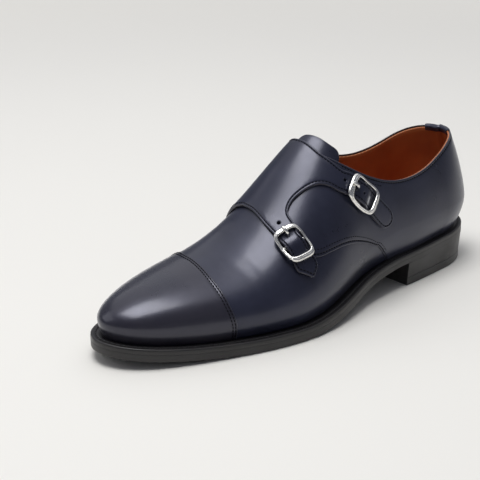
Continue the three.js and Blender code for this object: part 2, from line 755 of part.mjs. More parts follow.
// The prong's middle line as (a, h): beside the centre bar, up through the strap, over the near bar.
const PRONG_PATH = [
  { a: -1.95, h: 1.3, radius: 0.62 },
  { a: -4.6, h: 1.3, radius: 0.62 },
  { a: -5.6, h: 2.3, radius: 0.7 },
  { a: -6.4, h: 4.5, radius: 0.75 },
  { a: -7.7, h: 6.2, radius: 0.8 },
  { a: -9.2, h: 6.7, radius: 0.8 },
  { a: -10.6, h: 6.6, radius: 0.75 },
  { a: -11.4, h: 6.3, radius: 0.5 },
];

function buildProng(buckle) {
  const corners = 8;
  const rings = PRONG_PATH.map((row, i) => {
    const before = PRONG_PATH[Math.max(i - 1, 0)];
    const after = PRONG_PATH[Math.min(i + 1, PRONG_PATH.length - 1)];
    const heading = new THREE.Vector2(after.a - before.a, after.h - before.h).normalize();
    const ring = [];
    for (let k = 0; k < corners; k += 1) {
      const turn = (2 * Math.PI * k) / corners;
      const lift = row.radius * Math.sin(turn);
      const aside = row.radius * Math.cos(turn);
      ring.push(nearBuckle(buckle, row.a - heading.y * lift, aside, row.h + heading.x * lift));
    }
    return ring;
  });
  return rodSolid(rings);
}

// ---- materials ----
const leather = (color) => new THREE.MeshStandardMaterial({ color, roughness: 0.35, metalness: 0 });
const navyLeather = () => leather(0x1d2233);
const liningLeather = () => leather(0x8a4a20);
const blackRubber = () => new THREE.MeshStandardMaterial({ color: 0x15161a, roughness: 0.7, metalness: 0 });
const blackEdge = () => new THREE.MeshStandardMaterial({ color: 0x1a1b20, roughness: 0.4, metalness: 0 });
const polishedSteel = () => new THREE.MeshStandardMaterial({ color: 0xcfd0cc, roughness: 0.2, metalness: 1 });

// ---- the shoe ----
const shoe = new THREE.Group();

function addPiece(name, solid, material) {
  const mesh = new THREE.Mesh(geometryOf(solid), material);
  mesh.name = name;
  shoe.add(mesh);
}

addPiece('heel_top_piece', buildHeelTopPiece(), blackRubber());
addPiece('heel_stack', buildHeelStack(), blackEdge());
addPiece('outsole', buildOutsole(), blackEdge());
addPiece('welt', buildWelt(), blackEdge());
addPiece('insole', buildInsole(), liningLeather());
addPiece('upper', buildUpper(), navyLeather());
addPiece('tongue', buildTongue(), navyLeather());
addPiece('strap_flap', buildStrapFlap(), navyLeather());
for (const buckle of buckles) {
  addPiece(`buckle_frame_${buckle.name}`, buildBuckleFrame(buckle), polishedSteel());
  addPiece(`buckle_prong_${buckle.name}`, buildProng(buckle), polishedSteel());
}

const box = new THREE.Box3().setFromObject(shoe);
const centre = box.getCenter(new THREE.Vector3());
shoe.position.set(-centre.x, -centre.y, -box.min.z);

export default shoe;
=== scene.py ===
"""Double monk strap shoe, left foot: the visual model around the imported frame."""
import math

import bpy
import numpy as np
from mathutils import Matrix, Vector
from mathutils.geometry import delaunay_2d_cdt


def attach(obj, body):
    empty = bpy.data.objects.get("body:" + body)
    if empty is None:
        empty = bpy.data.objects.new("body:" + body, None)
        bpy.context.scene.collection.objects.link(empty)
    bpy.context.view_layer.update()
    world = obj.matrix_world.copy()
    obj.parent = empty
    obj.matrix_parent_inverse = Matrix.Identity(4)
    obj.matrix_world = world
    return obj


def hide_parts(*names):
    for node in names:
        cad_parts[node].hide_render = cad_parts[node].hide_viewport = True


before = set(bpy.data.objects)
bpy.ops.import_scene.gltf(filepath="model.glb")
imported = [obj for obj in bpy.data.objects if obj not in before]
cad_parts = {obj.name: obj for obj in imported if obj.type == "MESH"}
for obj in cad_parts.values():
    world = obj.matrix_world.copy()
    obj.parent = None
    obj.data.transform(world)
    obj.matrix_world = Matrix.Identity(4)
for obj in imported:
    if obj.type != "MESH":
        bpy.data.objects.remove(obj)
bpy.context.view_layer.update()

bl_info = {
    "name": "Double Monk Strap Shoe",
    "version": (1, 0, 0),
    "blender": (4, 5, 0),
    "location": "View3D > Sidebar > Shoe",
    "description": "Builds a welted double monk strap shoe with a cap toe on its packed frame",
    "category": "Object",
}

MM = 0.001

# ---------------------------------------------------------------- the form, in millimetres
# s runs from the heel's back to the toe, side is +1 lateral or -1 medial, and v runs from
# 0 at the feather edge to 1 at the crest. Each upper piece is an offset of this form.
FORM_LENGTH = 298.0
ROW_SHIFT_X = -3.832
ROW_SHIFT_Y = 0.856
SOLE_EDGE_FORE = 8.4
SOLE_EDGE_HEEL = 7.0
OUTSOLE_FORE = 5.0
OUTSOLE_HEEL = 4.0
HEEL_BREAST_S = 76.0
HEEL_HEIGHT = 16.6
HEEL_TILT = 2.5
TREAD_BACK_S = 188.0
TREAD_FRONT_S = 206.0
TOE_SPRING = 6.5
EDGE_MARGIN_FORE = 7.5
EDGE_MARGIN_HEEL = 4.5
TOE_ROUND_S = 203.0
ROUND_POWER = 2.1
TOE_FULLNESS = 1.9
FAN_REACH = 105.0              # how far from either end the ribs lean
CENTRE_FROM_S = 150.0          # where the middle line starts to follow the crest
CENTRE_FADE = 100.0
HEEL_ROUND = 34.0
HEEL_FAN = 34.0
TOE_FAN = 30.0
LOW_SHARE = 0.22
TOP_PIECE_THICK = 5.5

STATION_COLUMNS = ("s", "lateral", "medial", "bulge_out", "bulge_in", "wide", "crest_x", "crest_z",
                   "round", "full")
STATIONS = (
    (0, 26.5, 27.5, 5.8, 3.0, 20.0, 0.0, 125.0, 1.30, 1.70),
    (30, 28.0, 29.0, 5.4, 3.5, 20.0, 0.0, 125.0, 1.30, 1.70),
    (60, 31.5, 29.0, 4.5, 4.0, 20.0, -1.0, 125.0, 1.30, 1.70),
    (90, 33.0, 26.0, 4.5, 6.0, 20.0, -2.0, 123.5, 1.35, 1.75),
    (120, 36.0, 24.5, 5.0, 8.0, 19.0, -4.0, 118.5, 1.45, 1.85),
    (150, 44.0, 26.5, 5.0, 7.5, 18.0, -6.0, 99.5, 1.55, 1.95),
    (180, 48.0, 33.5, 4.5, 5.5, 15.0, -7.0, 74.0, 1.70, 2.00),
    (205, 45.0, 39.0, 4.0, 4.0, 13.0, -7.5, 57.0, 1.85, 2.05),
    (230, 40.0, 41.5, 3.5, 3.2, 11.5, -7.5, 48.5, 2.00, 2.15),
    (255, 36.5, 41.5, 3.2, 3.0, 10.5, -7.0, 44.0, 2.10, 2.25),
    (275, 35.0, 41.0, 3.0, 3.0, 10.0, -6.5, 40.5, 2.10, 2.30),
    (298, 35.0, 40.5, 3.0, 3.0, 10.0, -6.0, 37.0, 2.10, 2.30),
)
COLLAR_COLUMNS = ("s", "lateral", "medial")
COLLAR = (
    (-5, 93.0, 94.0),
    (20, 89.5, 89.5),
    (45, 80.0, 81.5),
    (70, 75.5, 79.0),
    (95, 79.0, 84.0),
    (120, 91.0, 94.0),
    (140, 104.0, 106.0),
    (165, 122.0, 122.0),
)


def ease(x):
    c = np.clip(x, 0.0, 1.0)
    return c * c * (3 - 2 * c)


def natural_spline(xs, ys):
    """Natural cubic spline through the knots, straight beyond its ends."""
    xs = np.asarray(xs, float)
    ys = np.asarray(ys, float)
    count = len(xs)
    step = np.diff(xs)
    left = np.eye(count)
    right = np.zeros(count)
    for i in range(1, count - 1):
        left[i, i - 1:i + 2] = step[i - 1], 2 * (step[i - 1] + step[i]), step[i]
        right[i] = 6 * ((ys[i + 1] - ys[i]) / step[i] - (ys[i] - ys[i - 1]) / step[i - 1])
    bend = np.linalg.solve(left, right)
    slope_in = (ys[1] - ys[0]) / step[0] - step[0] * bend[1] / 6
    slope_out = (ys[-1] - ys[-2]) / step[-1] + step[-1] * bend[-2] / 6

    def value(x):
        x = np.asarray(x, float)
        inside = np.clip(x, xs[0], xs[-1])
        i = np.clip(np.searchsorted(xs, inside, side="right") - 1, 0, count - 2)
        a = inside - xs[i]
        b = xs[i + 1] - inside
        curve = (bend[i] * b ** 3 + bend[i + 1] * a ** 3) / (6 * step[i])
        at_low = ys[i] / step[i] - bend[i] * step[i] / 6
        at_high = ys[i + 1] / step[i] - bend[i + 1] * step[i] / 6
        beyond = slope_in * np.minimum(x - xs[0], 0) + slope_out * np.maximum(x - xs[-1], 0)
        return curve + at_low * b + at_high * a + beyond

    return value


def table_splines(columns, rows):
    s = [row[0] for row in rows]
    return {name: natural_spline(s, [row[i] for row in rows]) for i, name in enumerate(columns)}


STATION = table_splines(STATION_COLUMNS, STATIONS)
COLLAR_LINE = table_splines(COLLAR_COLUMNS, COLLAR)


def sole_bottom(s):
    """Height of the outsole's underside: heel seat, arch, flat tread, toe spring."""
    s = np.asarray(s, float)
    arch = ease((TREAD_BACK_S - s) / (TREAD_BACK_S - HEEL_BREAST_S)) ** 0.9
    seat = np.clip((HEEL_BREAST_S - s) / HEEL_BREAST_S, 0, 1.1)
    spring = np.clip((s - TREAD_FRONT_S) / (FORM_LENGTH - TREAD_FRONT_S), 0, 1.1)
    return HEEL_HEIGHT * arch + HEEL_TILT * seat + TOE_SPRING * spring ** 2


def along_arch(s, at_heel, at_fore):
    share = (np.asarray(s) - HEEL_BREAST_S) / (TREAD_BACK_S - HEEL_BREAST_S)
    return at_heel + (at_fore - at_heel) * ease(share)


def feather_height(s):
    return sole_bottom(s) + along_arch(s, SOLE_EDGE_HEEL, SOLE_EDGE_FORE)


def outsole_top(s):
    return sole_bottom(s) + along_arch(s, OUTSOLE_HEEL, OUTSOLE_FORE)


def round_off(s):
    """Share of the half width that the roundings of toe and heel leave."""
    toe = np.clip((s - TOE_ROUND_S) / (FORM_LENGTH - TOE_ROUND_S), 0, 1)
    heel = np.clip((HEEL_ROUND - s) / HEEL_ROUND, 0, 1)
    at_toe = np.maximum(1 - toe ** ROUND_POWER, 0) ** (1 / TOE_FULLNESS)
    return at_toe * np.maximum(1 - heel ** ROUND_POWER, 0) ** (1 / ROUND_POWER)


def t_at(s):
    return np.arccos(1 - 2 * np.asarray(s, float) / FORM_LENGTH) / math.pi


def wrap(t, side):
    """Past either end of the foot the other side goes on."""
    over = (t < 0) | (t > 1)
    inside = np.where(t < 0, -t, np.where(t > 1, 2 - t, t))
    return inside, np.where(over, -side, side)


def feather_edge(t, side):
    t, side = wrap(t, side)
    s = FORM_LENGTH * (1 - np.cos(math.pi * t)) / 2
    middle = STATION["crest_x"](s) * ease((s - CENTRE_FROM_S) / CENTRE_FADE)
    edge = np.where(side > 0, STATION["lateral"](s), -STATION["medial"](s))
    return middle + (edge - middle) * round_off(s), s


def edge_normal(t, side):
    step = 1e-4
    ax, a_s = feather_edge(t - step, side)
    bx, b_s = feather_edge(t + step, side)
    length = np.hypot(bx - ax, b_s - a_s)
    return side * (b_s - a_s) / length, -side * (bx - ax) / length


def crest_place(s):
    back = np.clip((FAN_REACH - s) / FAN_REACH, 0, 1)
    front = np.clip((s - FORM_LENGTH + FAN_REACH) / FAN_REACH, 0, 1)
    return s + HEEL_FAN * back ** 3 - TOE_FAN * front ** 3


def form_points(t, side, v):
    """Points of the form as an array of x, s, z."""
    t, side, v = np.broadcast_arrays(np.asarray(t, float), np.asarray(side, float), np.asarray(v, float))
    side = np.where(v > 1, -side, side)
    v = np.where(v > 1, 2 - v, v)
    t, side = wrap(t, side)
    edge_x, edge_s = feather_edge(t, side)
    out_x, out_s = edge_normal(t, side)
    bulge = np.where(side > 0, STATION["bulge_out"](edge_s), STATION["bulge_in"](edge_s))
    wide = STATION["wide"](edge_s)
    base = feather_height(edge_s)
    low = np.clip(v / LOW_SHARE, 0, 1)
    lean = bulge * np.sin(math.pi / 2 * low)
    angle = np.clip((v - LOW_SHARE) / (1 - LOW_SHARE), 0, 1) * math.pi / 2
    top = crest_place(edge_s)
    across = np.maximum(np.cos(angle), 0) ** (2 / STATION["full"](top))
    rise = np.sin(angle) ** (2 / STATION["round"](top))
    wide_x = edge_x + bulge * out_x
    wide_s = edge_s + bulge * out_s
    crest_x = STATION["crest_x"](top)
    x = crest_x + (wide_x - crest_x) * across
    s = top + (wide_s - top) * across
    slope = STATION["crest_z"](top + 0.5) - STATION["crest_z"](top - 0.5)
    crown = STATION["crest_z"](top) + slope * (s - top)
    z = base + wide + (crown - base - wide) * rise
    is_low = v < LOW_SHARE
    return np.stack([
        np.where(is_low, edge_x + lean * out_x, x),
        np.where(is_low, edge_s + lean * out_s, s),
        np.where(is_low, base + wide * low, z),
    ], -1)


def to_row(points):
    """x, s, z in millimetres to the frame's metres."""
    out = np.array(points, float)
    out[..., 0] = points[..., 0] + ROW_SHIFT_X
    out[..., 1] = FORM_LENGTH / 2 - points[..., 1] + ROW_SHIFT_Y
    return out * MM


def form_normals(t, side, v):
    """Outward unit normals, as x, s, z."""
    t, side, v = np.broadcast_arrays(np.asarray(t, float), np.asarray(side, float), np.asarray(v, float))
    near_crest = 0.985
    step = 0.004

    def raw(tt, ss, vv):
        along = form_points(tt + step, ss, vv) - form_points(tt - step, ss, vv)
        up = form_points(tt, ss, vv + step) - form_points(tt, ss, np.maximum(vv - step, 0))
        cross = np.cross(along, up) * ss[..., None]
        return cross / np.linalg.norm(cross, axis=-1, keepdims=True)

    capped = np.minimum(v, near_crest)
    own = raw(t, side, capped)
    both = own + raw(t, -side, capped)
    both /= np.linalg.norm(both, axis=-1, keepdims=True)
    blend = np.clip((v - near_crest) / (1 - near_crest), 0, 1)[..., None]
    mixed = own * (1 - blend) + both * blend
    return mixed / np.linalg.norm(mixed, axis=-1, keepdims=True)


def off_form(t, side, v, distance):
    """Points that stand off the form, in the frame's metres."""
    points = form_points(t, side, v)
    return to_row(points + form_normals(t, side, v) * np.asarray(distance, float)[..., None])


def lengths_along(points):
    """Length of a line up to each of its points."""
    steps = np.linalg.norm(np.diff(points, axis=0), axis=1)
    return np.concatenate([[0], np.cumsum(steps)])


# ---- the form's pattern plane: r along the foot, y round it from the crest, both in mm ----
COLLAR_BLEND_T = 0.12          # up to here both sides' collar lines blend round the heel
PATTERN_T = np.linspace(0, 1, 401)
PATTERN_V = np.linspace(0, 1, 61)
CONTOUR_V = 0.35               # the contour along which r is measured


def ring_lengths(side):
    return lengths_along(form_points(PATTERN_T, side, CONTOUR_V))


def rib_lengths(side):
    ribs = form_points(PATTERN_T[:, None], side, PATTERN_V[None, :])
    return np.linalg.norm(np.diff(ribs, axis=1), axis=2).sum(1)


RIB_LENGTH = (rib_lengths(1.0) + rib_lengths(-1.0)) / 2
RING_LENGTH = (ring_lengths(1.0) + ring_lengths(-1.0)) / 2


def unpattern(places):
    """t, side and v of places in the pattern plane."""
    t = np.interp(places[:, 0], RING_LENGTH, PATTERN_T)
    share = places[:, 1] / np.interp(t, PATTERN_T, RIB_LENGTH)
    return t, np.where(share >= 0, 1.0, -1.0), 1 - np.clip(np.abs(share), 0, 1)


def collar_share(t, side):
    """v of the collar line on each rib, and 1 where the rib stays below it."""
    v = np.linspace(0.2, 1, 401)
    line = COLLAR_LINE["lateral"] if side > 0 else COLLAR_LINE["medial"]
    other = COLLAR_LINE["medial"] if side > 0 else COLLAR_LINE["lateral"]
    ribs = form_points(np.asarray(t)[:, None], side, v[None, :])
    shared = 0.5 * (1 - ease(np.asarray(t)[:, None] / COLLAR_BLEND_T))
    height = line(ribs[..., 1]) * (1 - shared) + other(ribs[..., 1]) * shared
    above = ribs[..., 2] - height
    result = np.ones(len(ribs))
    for i, row in enumerate(above):
        crossed = np.nonzero(row > 0)[0]
        if len(crossed) and crossed[0] > 0:
            k = crossed[0]
            result[i] = v[k - 1] + (v[k] - v[k - 1]) * (-row[k - 1]) / (row[k] - row[k - 1])
    return result


# ---------------------------------------------------------------- mesh helpers
def select_only(obj):
    if bpy.context.object and bpy.context.object.mode != "OBJECT":
        bpy.ops.object.mode_set(mode="OBJECT")
    bpy.ops.object.select_all(action="DESELECT")
    obj.select_set(True)
    bpy.context.view_layer.objects.active = obj


def weld(obj, gap=2e-6):
    """Merges the points that meet, drops slivers and turns all faces outwards."""
    select_only(obj)
    bpy.ops.object.mode_set(mode="EDIT")
    bpy.ops.mesh.select_all(action="SELECT")
    bpy.ops.mesh.remove_doubles(threshold=gap)
    bpy.ops.mesh.dissolve_degenerate(threshold=gap / 2)
    bpy.ops.mesh.select_all(action="SELECT")
    bpy.ops.mesh.normals_make_consistent(inside=False)
    bpy.ops.object.mode_set(mode="OBJECT")


SMOOTH_SOLE = 40
SMOOTH_LEATHER = 50
SMOOTH_METAL = 60


def smooth(obj, angle):
    """Shades smooth, with a crisp line where faces turn by more than the angle in degrees."""
    select_only(obj)
    bpy.ops.object.shade_smooth_by_angle(angle=math.radians(angle))


def mesh_piece(name, points, faces):
    mesh = bpy.data.meshes.new(name)
    mesh.from_pydata([tuple(p) for p in points], [], [tuple(int(i) for i in f) for f in faces])
    mesh.update()
    obj = bpy.data.objects.new(name, mesh)
    bpy.context.scene.collection.objects.link(obj)
    return obj


FAR_FROM_EDGE = 4.0


def finish_piece(obj, material, slot, *nodes):
    obj.data.materials.clear()
    obj.data.materials.append(material)
    if "cut_edge" not in obj.data.attributes:
        store_edge(obj, np.full(len(obj.data.vertices), FAR_FROM_EDGE))
    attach(obj, "root")
    if nodes:
        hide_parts(*nodes)


RUN_STEP = 1.2                 # spacing of an outline's points


def smooth_run(points):
    """A smooth line through the points, resampled evenly, both ends kept."""
    points = np.asarray(points, float)
    knots = lengths_along(points)
    if len(points) == 2:
        lines = [lambda k, i=i: np.interp(k, knots, points[:, i]) for i in (0, 1)]
    else:
        lines = [natural_spline(knots, points[:, i]) for i in (0, 1)]
    fine = np.linspace(0, knots[-1], max(int(knots[-1] * 4), 8))
    dense = np.stack([line(fine) for line in lines], 1)
    length = lengths_along(dense)
    count = max(int(round(length[-1] / RUN_STEP)), 1)
    even = np.linspace(0, length[-1], count + 1)
    return np.stack([np.interp(even, length, dense[:, i]) for i in (0, 1)], 1)


def join_runs(*runs):
    """One outline from runs that start where the last one ended."""
    return np.concatenate([run[:-1] for run in runs])


def distance_to(points, line, closed=True):
    """Distance of each point to a line in the pattern plane."""
    starts = line if closed else line[:-1]
    ends = np.roll(line, -1, axis=0) if closed else line[1:]
    best = np.full(len(points), 1e9)
    for a, b in zip(starts, ends):
        run = b - a
        square = max(run @ run, 1e-12)
        share = np.clip(((points - a) @ run) / square, 0, 1)
        best = np.minimum(best, np.linalg.norm(points - a - share[:, None] * run, axis=1))
    return best


def inside_of(points, line):
    """Whether each point lies inside a closed outline."""
    x, y = points[:, 0], points[:, 1]
    result = np.zeros(len(points), bool)
    ends = np.roll(line, -1, axis=0)
    for (ax, ay), (bx, by) in zip(line, ends):
        crosses = (ay > y) != (by > y)
        if ay != by:
            result ^= crosses & (x < (bx - ax) * (y - ay) / (by - ay) + ax)
    return result


def inset_line(line, amount):
    """A closed outline moved inwards, without the points that a tight bend pushes out."""
    along = np.roll(line, -1, axis=0) - np.roll(line, 1, axis=0)
    along /= np.linalg.norm(along, axis=1, keepdims=True)
    normal = np.stack([-along[:, 1], along[:, 0]], 1)
    area = np.sum(line[:, 0] * np.roll(line[:, 1], -1) - np.roll(line[:, 0], -1) * line[:, 1])
    moved = line + normal * (amount if area > 0 else -amount)
    keep = (distance_to(moved, line) > amount * 0.93) & inside_of(moved, line)
    return moved[keep]


SEAM_INSET = 1.3
CAP_ROWS = (1.4, 3.3)
CAP_SHARE_MM = 133.0
SEAM_DEPTH = 0.32
SEAM_HALF = 0.3
# Distances, in millimetres, of a sheet's added rows of points from its edge and its holes.
SEAM_RINGS = (SEAM_INSET - 0.3, SEAM_INSET, SEAM_INSET + 0.35, 2.1)
HOLE_RINGS = (0.2, 0.45, 0.9, 1.5)
EDGE_CLEAR = 2.6
HOLE_CLEAR = 2.2


def seam_groove(away, inset=SEAM_INSET):
    """How deep a seam's thread pulls the leather in, by distance from the cut edge."""
    return SEAM_DEPTH * np.exp(-((away - inset) / SEAM_HALF) ** 2)


def sheet_piece(name, outline, top, bottom, spacing, edge_round, holes=()):
    """A leather sheet laid on the form: an outline in the pattern plane, with a rounded edge."""
    borders = [np.asarray(outline)] + [np.asarray(hole) for hole in holes]
    low, high = borders[0].min(0), borders[0].max(0)
    rows = []
    for j, y in enumerate(np.arange(low[1], high[1], spacing * 0.87)):
        shift = spacing / 2 if j % 2 else 0
        xs = np.arange(low[0] + shift, high[0], spacing)
        rows.append(np.stack([xs, np.full_like(xs, y)], 1))
    grid = np.concatenate(rows)
    wanted = inside_of(grid, borders[0]) & (distance_to(grid, borders[0]) > EDGE_CLEAR)
    for hole in borders[1:]:
        wanted &= ~inside_of(grid, hole) & (distance_to(grid, hole) > HOLE_CLEAR)
    extra = [grid[wanted]]
    for amount in (edge_round * 0.3, edge_round, *SEAM_RINGS):
        extra.append(inset_line(borders[0], amount))
    for hole in borders[1:]:
        spokes = hole - hole.mean(0)
        radius = np.linalg.norm(spokes, axis=1).mean()
        extra += [hole.mean(0) + spokes * (1 + amount / radius) for amount in HOLE_RINGS]
    points = np.concatenate(borders + extra)
    edges = []
    start = 0
    for border in borders:
        count = len(border)
        edges += [(start + i, start + (i + 1) % count) for i in range(count)]
        start += count
    flat, _, faces, _, _, _ = delaunay_2d_cdt([Vector(p) for p in points], edges, [], 0, 1e-5)
    flat = np.array([tuple(p) for p in flat])
    faces = np.array([tuple(face) for face in faces if len(face) == 3])
    middles = flat[faces].mean(1)
    kept = inside_of(middles, borders[0])
    for hole in borders[1:]:
        kept &= ~inside_of(middles, hole)
    faces = faces[kept]
    corners = flat[faces]
    turn = np.cross(corners[:, 1] - corners[:, 0], corners[:, 2] - corners[:, 0])
    faces[turn < 0] = faces[turn < 0][:, ::-1]
    used = np.unique(faces)
    renumber = np.full(len(flat), -1)
    renumber[used] = np.arange(len(used))
    flat, faces = flat[used], renumber[faces]

    away = np.minimum.reduce([distance_to(flat, border) for border in borders])
    share = 1 - np.clip(away / edge_round, 0, 1)
    drop = edge_round * 0.8 * (1 - np.sqrt(np.maximum(1 - share ** 2, 0)))
    t, side, v = unpattern(flat)
    from_outline = distance_to(flat, borders[0])
    groove = seam_groove(from_outline)
    high_points = off_form(t, side, v, top(flat) - drop - groove)
    low_points = off_form(t, side, v, bottom(flat))
    count = len(flat)
    directed = dict.fromkeys(pair for a, b, c in faces for pair in ((a, b), (b, c), (c, a)))
    walls = [(a, a + count, b + count, b) for a, b in directed if (b, a) not in directed]
    everything = [tuple(face) for face in faces] + [tuple(face[::-1] + count) for face in faces] + walls
    obj = mesh_piece(name, np.concatenate([high_points, low_points]), everything)
    weld(obj)
    if len(obj.data.vertices) == 2 * count:
        store_edge(obj, np.concatenate([from_outline, np.zeros(count)]))
    smooth(obj, SMOOTH_LEATHER)
    return obj


def store_edge(obj, away):
    """Keeps each point's distance to the cut edge, in millimetres, for the edge finish."""
    attribute = obj.data.attributes.new("cut_edge", "FLOAT", "POINT")
    attribute.data.foreach_set("value", np.minimum(away, FAR_FROM_EDGE).astype(np.float32))


def band_mesh(name, rows, closed_columns=True, skip=None, away=None):
    """A closed shell from profile rows: each row is a line of points, the last joins the first."""
    rows = np.asarray(rows)
    count_rows, count_columns = rows.shape[:2]
    spans = count_columns if closed_columns else count_columns - 1
    faces = []
    for k in range(count_rows):
        after = (k + 1) % count_rows
        for i in range(spans):
            j = (i + 1) % count_columns
            if skip is not None and skip(k, i):
                continue
            faces.append((k * count_columns + i, k * count_columns + j,
                          after * count_columns + j, after * count_columns + i))
    if not closed_columns:
        half = count_rows // 2
        for column in (0, count_columns - 1):
            for k in range(half - 1):
                ends = (k, k + 1, count_rows - 2 - k, count_rows - 1 - k)
                face = tuple(row * count_columns + column for row in ends)
                faces.append(face if len(set(face)) == 4 else tuple(dict.fromkeys(face)))
    obj = mesh_piece(name, rows.reshape(-1, 3), faces)
    if away is not None:
        store_edge(obj, np.asarray(away, float).reshape(-1))
    weld(obj, 5e-6)
    return obj


# ---------------------------------------------------------------- places named in other ways
SOLVE_ROUNDS = 12
SOLVE_STEP = 1e-3
MOST_T_MOVE = 0.08
MOST_V_MOVE = 0.15
LOW_T = 0.002


def solve_place(t, v, wanted, measure):
    """Moves t and v by Newton's steps until measure(t, v) gives the wanted pair."""
    t = np.array(t, float)
    v = np.array(v, float)
    step = SOLVE_STEP
    for _ in range(SOLVE_ROUNDS):
        base = measure(t, v) - wanted
        by_t = (measure(t + step, v) - wanted - base) / step
        by_v = (measure(t, v + step) - wanted - base) / step
        det = by_t[..., 0] * by_v[..., 1] - by_v[..., 0] * by_t[..., 1]
        det = np.where(np.abs(det) < 1e-9, 1e-9, det)
        t_move = (base[..., 0] * by_v[..., 1] - base[..., 1] * by_v[..., 0]) / det
        v_move = (by_t[..., 0] * base[..., 1] - by_t[..., 1] * base[..., 0]) / det
        t = np.clip(t - np.clip(t_move, -MOST_T_MOVE, MOST_T_MOVE), LOW_T, 1 - LOW_T)
        v = np.clip(v - np.clip(v_move, -MOST_V_MOVE, MOST_V_MOVE), 0.0, 0.999)
    return t, v


def pattern_from(t, side, v):
    """Pattern place of a place on the form."""
    length = np.interp(t, PATTERN_T, RIB_LENGTH)
    return np.stack([np.interp(t, PATTERN_T, RING_LENGTH), side * (1 - v) * length], -1)


def seen_from_side(side, pairs):
    """Pattern places of (s, z) pairs on one side of the shoe."""
    pairs = np.asarray(pairs, float)
    measure = lambda t, v: form_points(t, float(side), v)[..., (1, 2)]
    t, v = solve_place(t_at(pairs[:, 0]), np.full(len(pairs), 0.6), pairs, measure)
    return pattern_from(t, float(side), v)


def on_ribs(side, pairs):
    """Pattern places of (t, v) pairs on one side of the shoe."""
    pairs = np.asarray(pairs, float)
    return pattern_from(pairs[:, 0], float(side), pairs[:, 1])


FLIP = np.array([1.0, -1.0, 1.0])
# A buckle's sizes, in millimetres, by a down the strap, b across it and h off the form.
FRAME_HALF_A = 10.1
FRAME_HALF_B = 8.5
FRAME_CORNER = 4.0             # power of the frame's outline
SIDE_BAR_H = 2.4
BAR_END_H = 4.5
BAR_RISE = 1.5                 # power of the rise from the side bars to the end bars
SIDE_BAR_HALF = 1.08
END_BAR_WIDER = 0.62
BAR_HALF_HIGH = 1.15
BAR_MIDDLE_H = 1.5
BAR_MIDDLE_RADIUS = 1.0
HUMP = 2.6
HUMP_HALF = 5.6
STRAP_REACH_A = 20.0
STRAP_REACH_B = 14.0


class Buckle:
    """A buckle's middle on the form: a runs down the strap, b across it, h off the form."""

    def __init__(self, name, s, v, turn, scale=1.0):
        self.name = name
        self.scale = scale
        self.t = float(t_at(s))
        self.v = v
        self.centre = form_points(self.t, 1.0, v) * FLIP
        self.normal = form_normals(self.t, 1.0, v) * FLIP
        up = (form_points(self.t, 1.0, v + 0.01) - form_points(self.t, 1.0, v - 0.01)) * FLIP
        up -= self.normal * (up @ self.normal)
        up /= np.linalg.norm(up)
        turned = Matrix.Rotation(math.radians(turn), 3, Vector(self.normal)) @ Vector(-up)
        self.along = np.array(turned)
        self.across = np.cross(self.normal, self.along)

    def measure(self, t, v):
        away = form_points(t, 1.0, v) * FLIP - self.centre
        return np.stack([away @ self.along, away @ self.across], -1) / self.scale

    def place(self, a, b):
        wanted = np.stack(np.broadcast_arrays(np.asarray(a, float), np.asarray(b, float)), -1)
        return solve_place(np.full(wanted.shape[:-1], self.t), np.full(wanted.shape[:-1], self.v),
                           wanted, self.measure)

    def pattern(self, pairs):
        pairs = np.asarray(pairs, float)
        t, v = self.place(pairs[:, 0], pairs[:, 1])
        return pattern_from(t, 1.0, v)

    def points(self, a, b, h):
        t, v = self.place(a, b)
        return off_form(t, 1.0, v, np.broadcast_to(h, t.shape))


BUCKLES = (Buckle("upper", 121.2, 0.524, 44.0, 1.1), Buckle("lower", 181.2, 0.618, 4.0))


def strap_hump(t, side, v):
    """How far a strap rises over the centre bars."""
    rise = np.zeros(np.broadcast(t, v).shape)
    for buckle in BUCKLES:
        ab = buckle.measure(t, v)
        near = (np.abs(ab[..., 1]) < STRAP_REACH_B) & (np.abs(ab[..., 0]) < STRAP_REACH_A) & (side > 0)
        rise += np.where(near, HUMP / (1 + (ab[..., 0] / HUMP_HALF) ** 4), 0)
    return rise


# ---------------------------------------------------------------- stitches
STITCH_REACH = 0.4 * MM        # how far ahead and behind a stitch takes its direction from
STITCH_CORNERS = 6
# A stitch's rings: place along it as a share of its length, radius and sinking as shares of its radius.
STITCH_RINGS = ((-0.5, 0.25, -0.5), (-0.36, 0.85, -0.12), (0.0, 1.0, 0.0), (0.36, 0.85, -0.12),
                (0.5, 0.25, -0.5))


def stitch_template(length, radius):
    """One stitch lying along X with its thread sunk at both ends."""
    turn = 2 * math.pi * np.arange(STITCH_CORNERS) / STITCH_CORNERS
    points = [(share * length, radius * wide * math.cos(angle), radius * (wide * math.sin(angle) + sink))
              for share, wide, sink in STITCH_RINGS for angle in turn]
    last = len(points) - STITCH_CORNERS
    faces = [(start + k, start + (k + 1) % STITCH_CORNERS,
              start + (k + 1) % STITCH_CORNERS + STITCH_CORNERS, start + k + STITCH_CORNERS)
             for start in range(0, last, STITCH_CORNERS) for k in range(STITCH_CORNERS)]
    ends = [tuple(range(STITCH_CORNERS))[::-1], tuple(range(last, len(points)))]
    return np.array(points), faces + ends


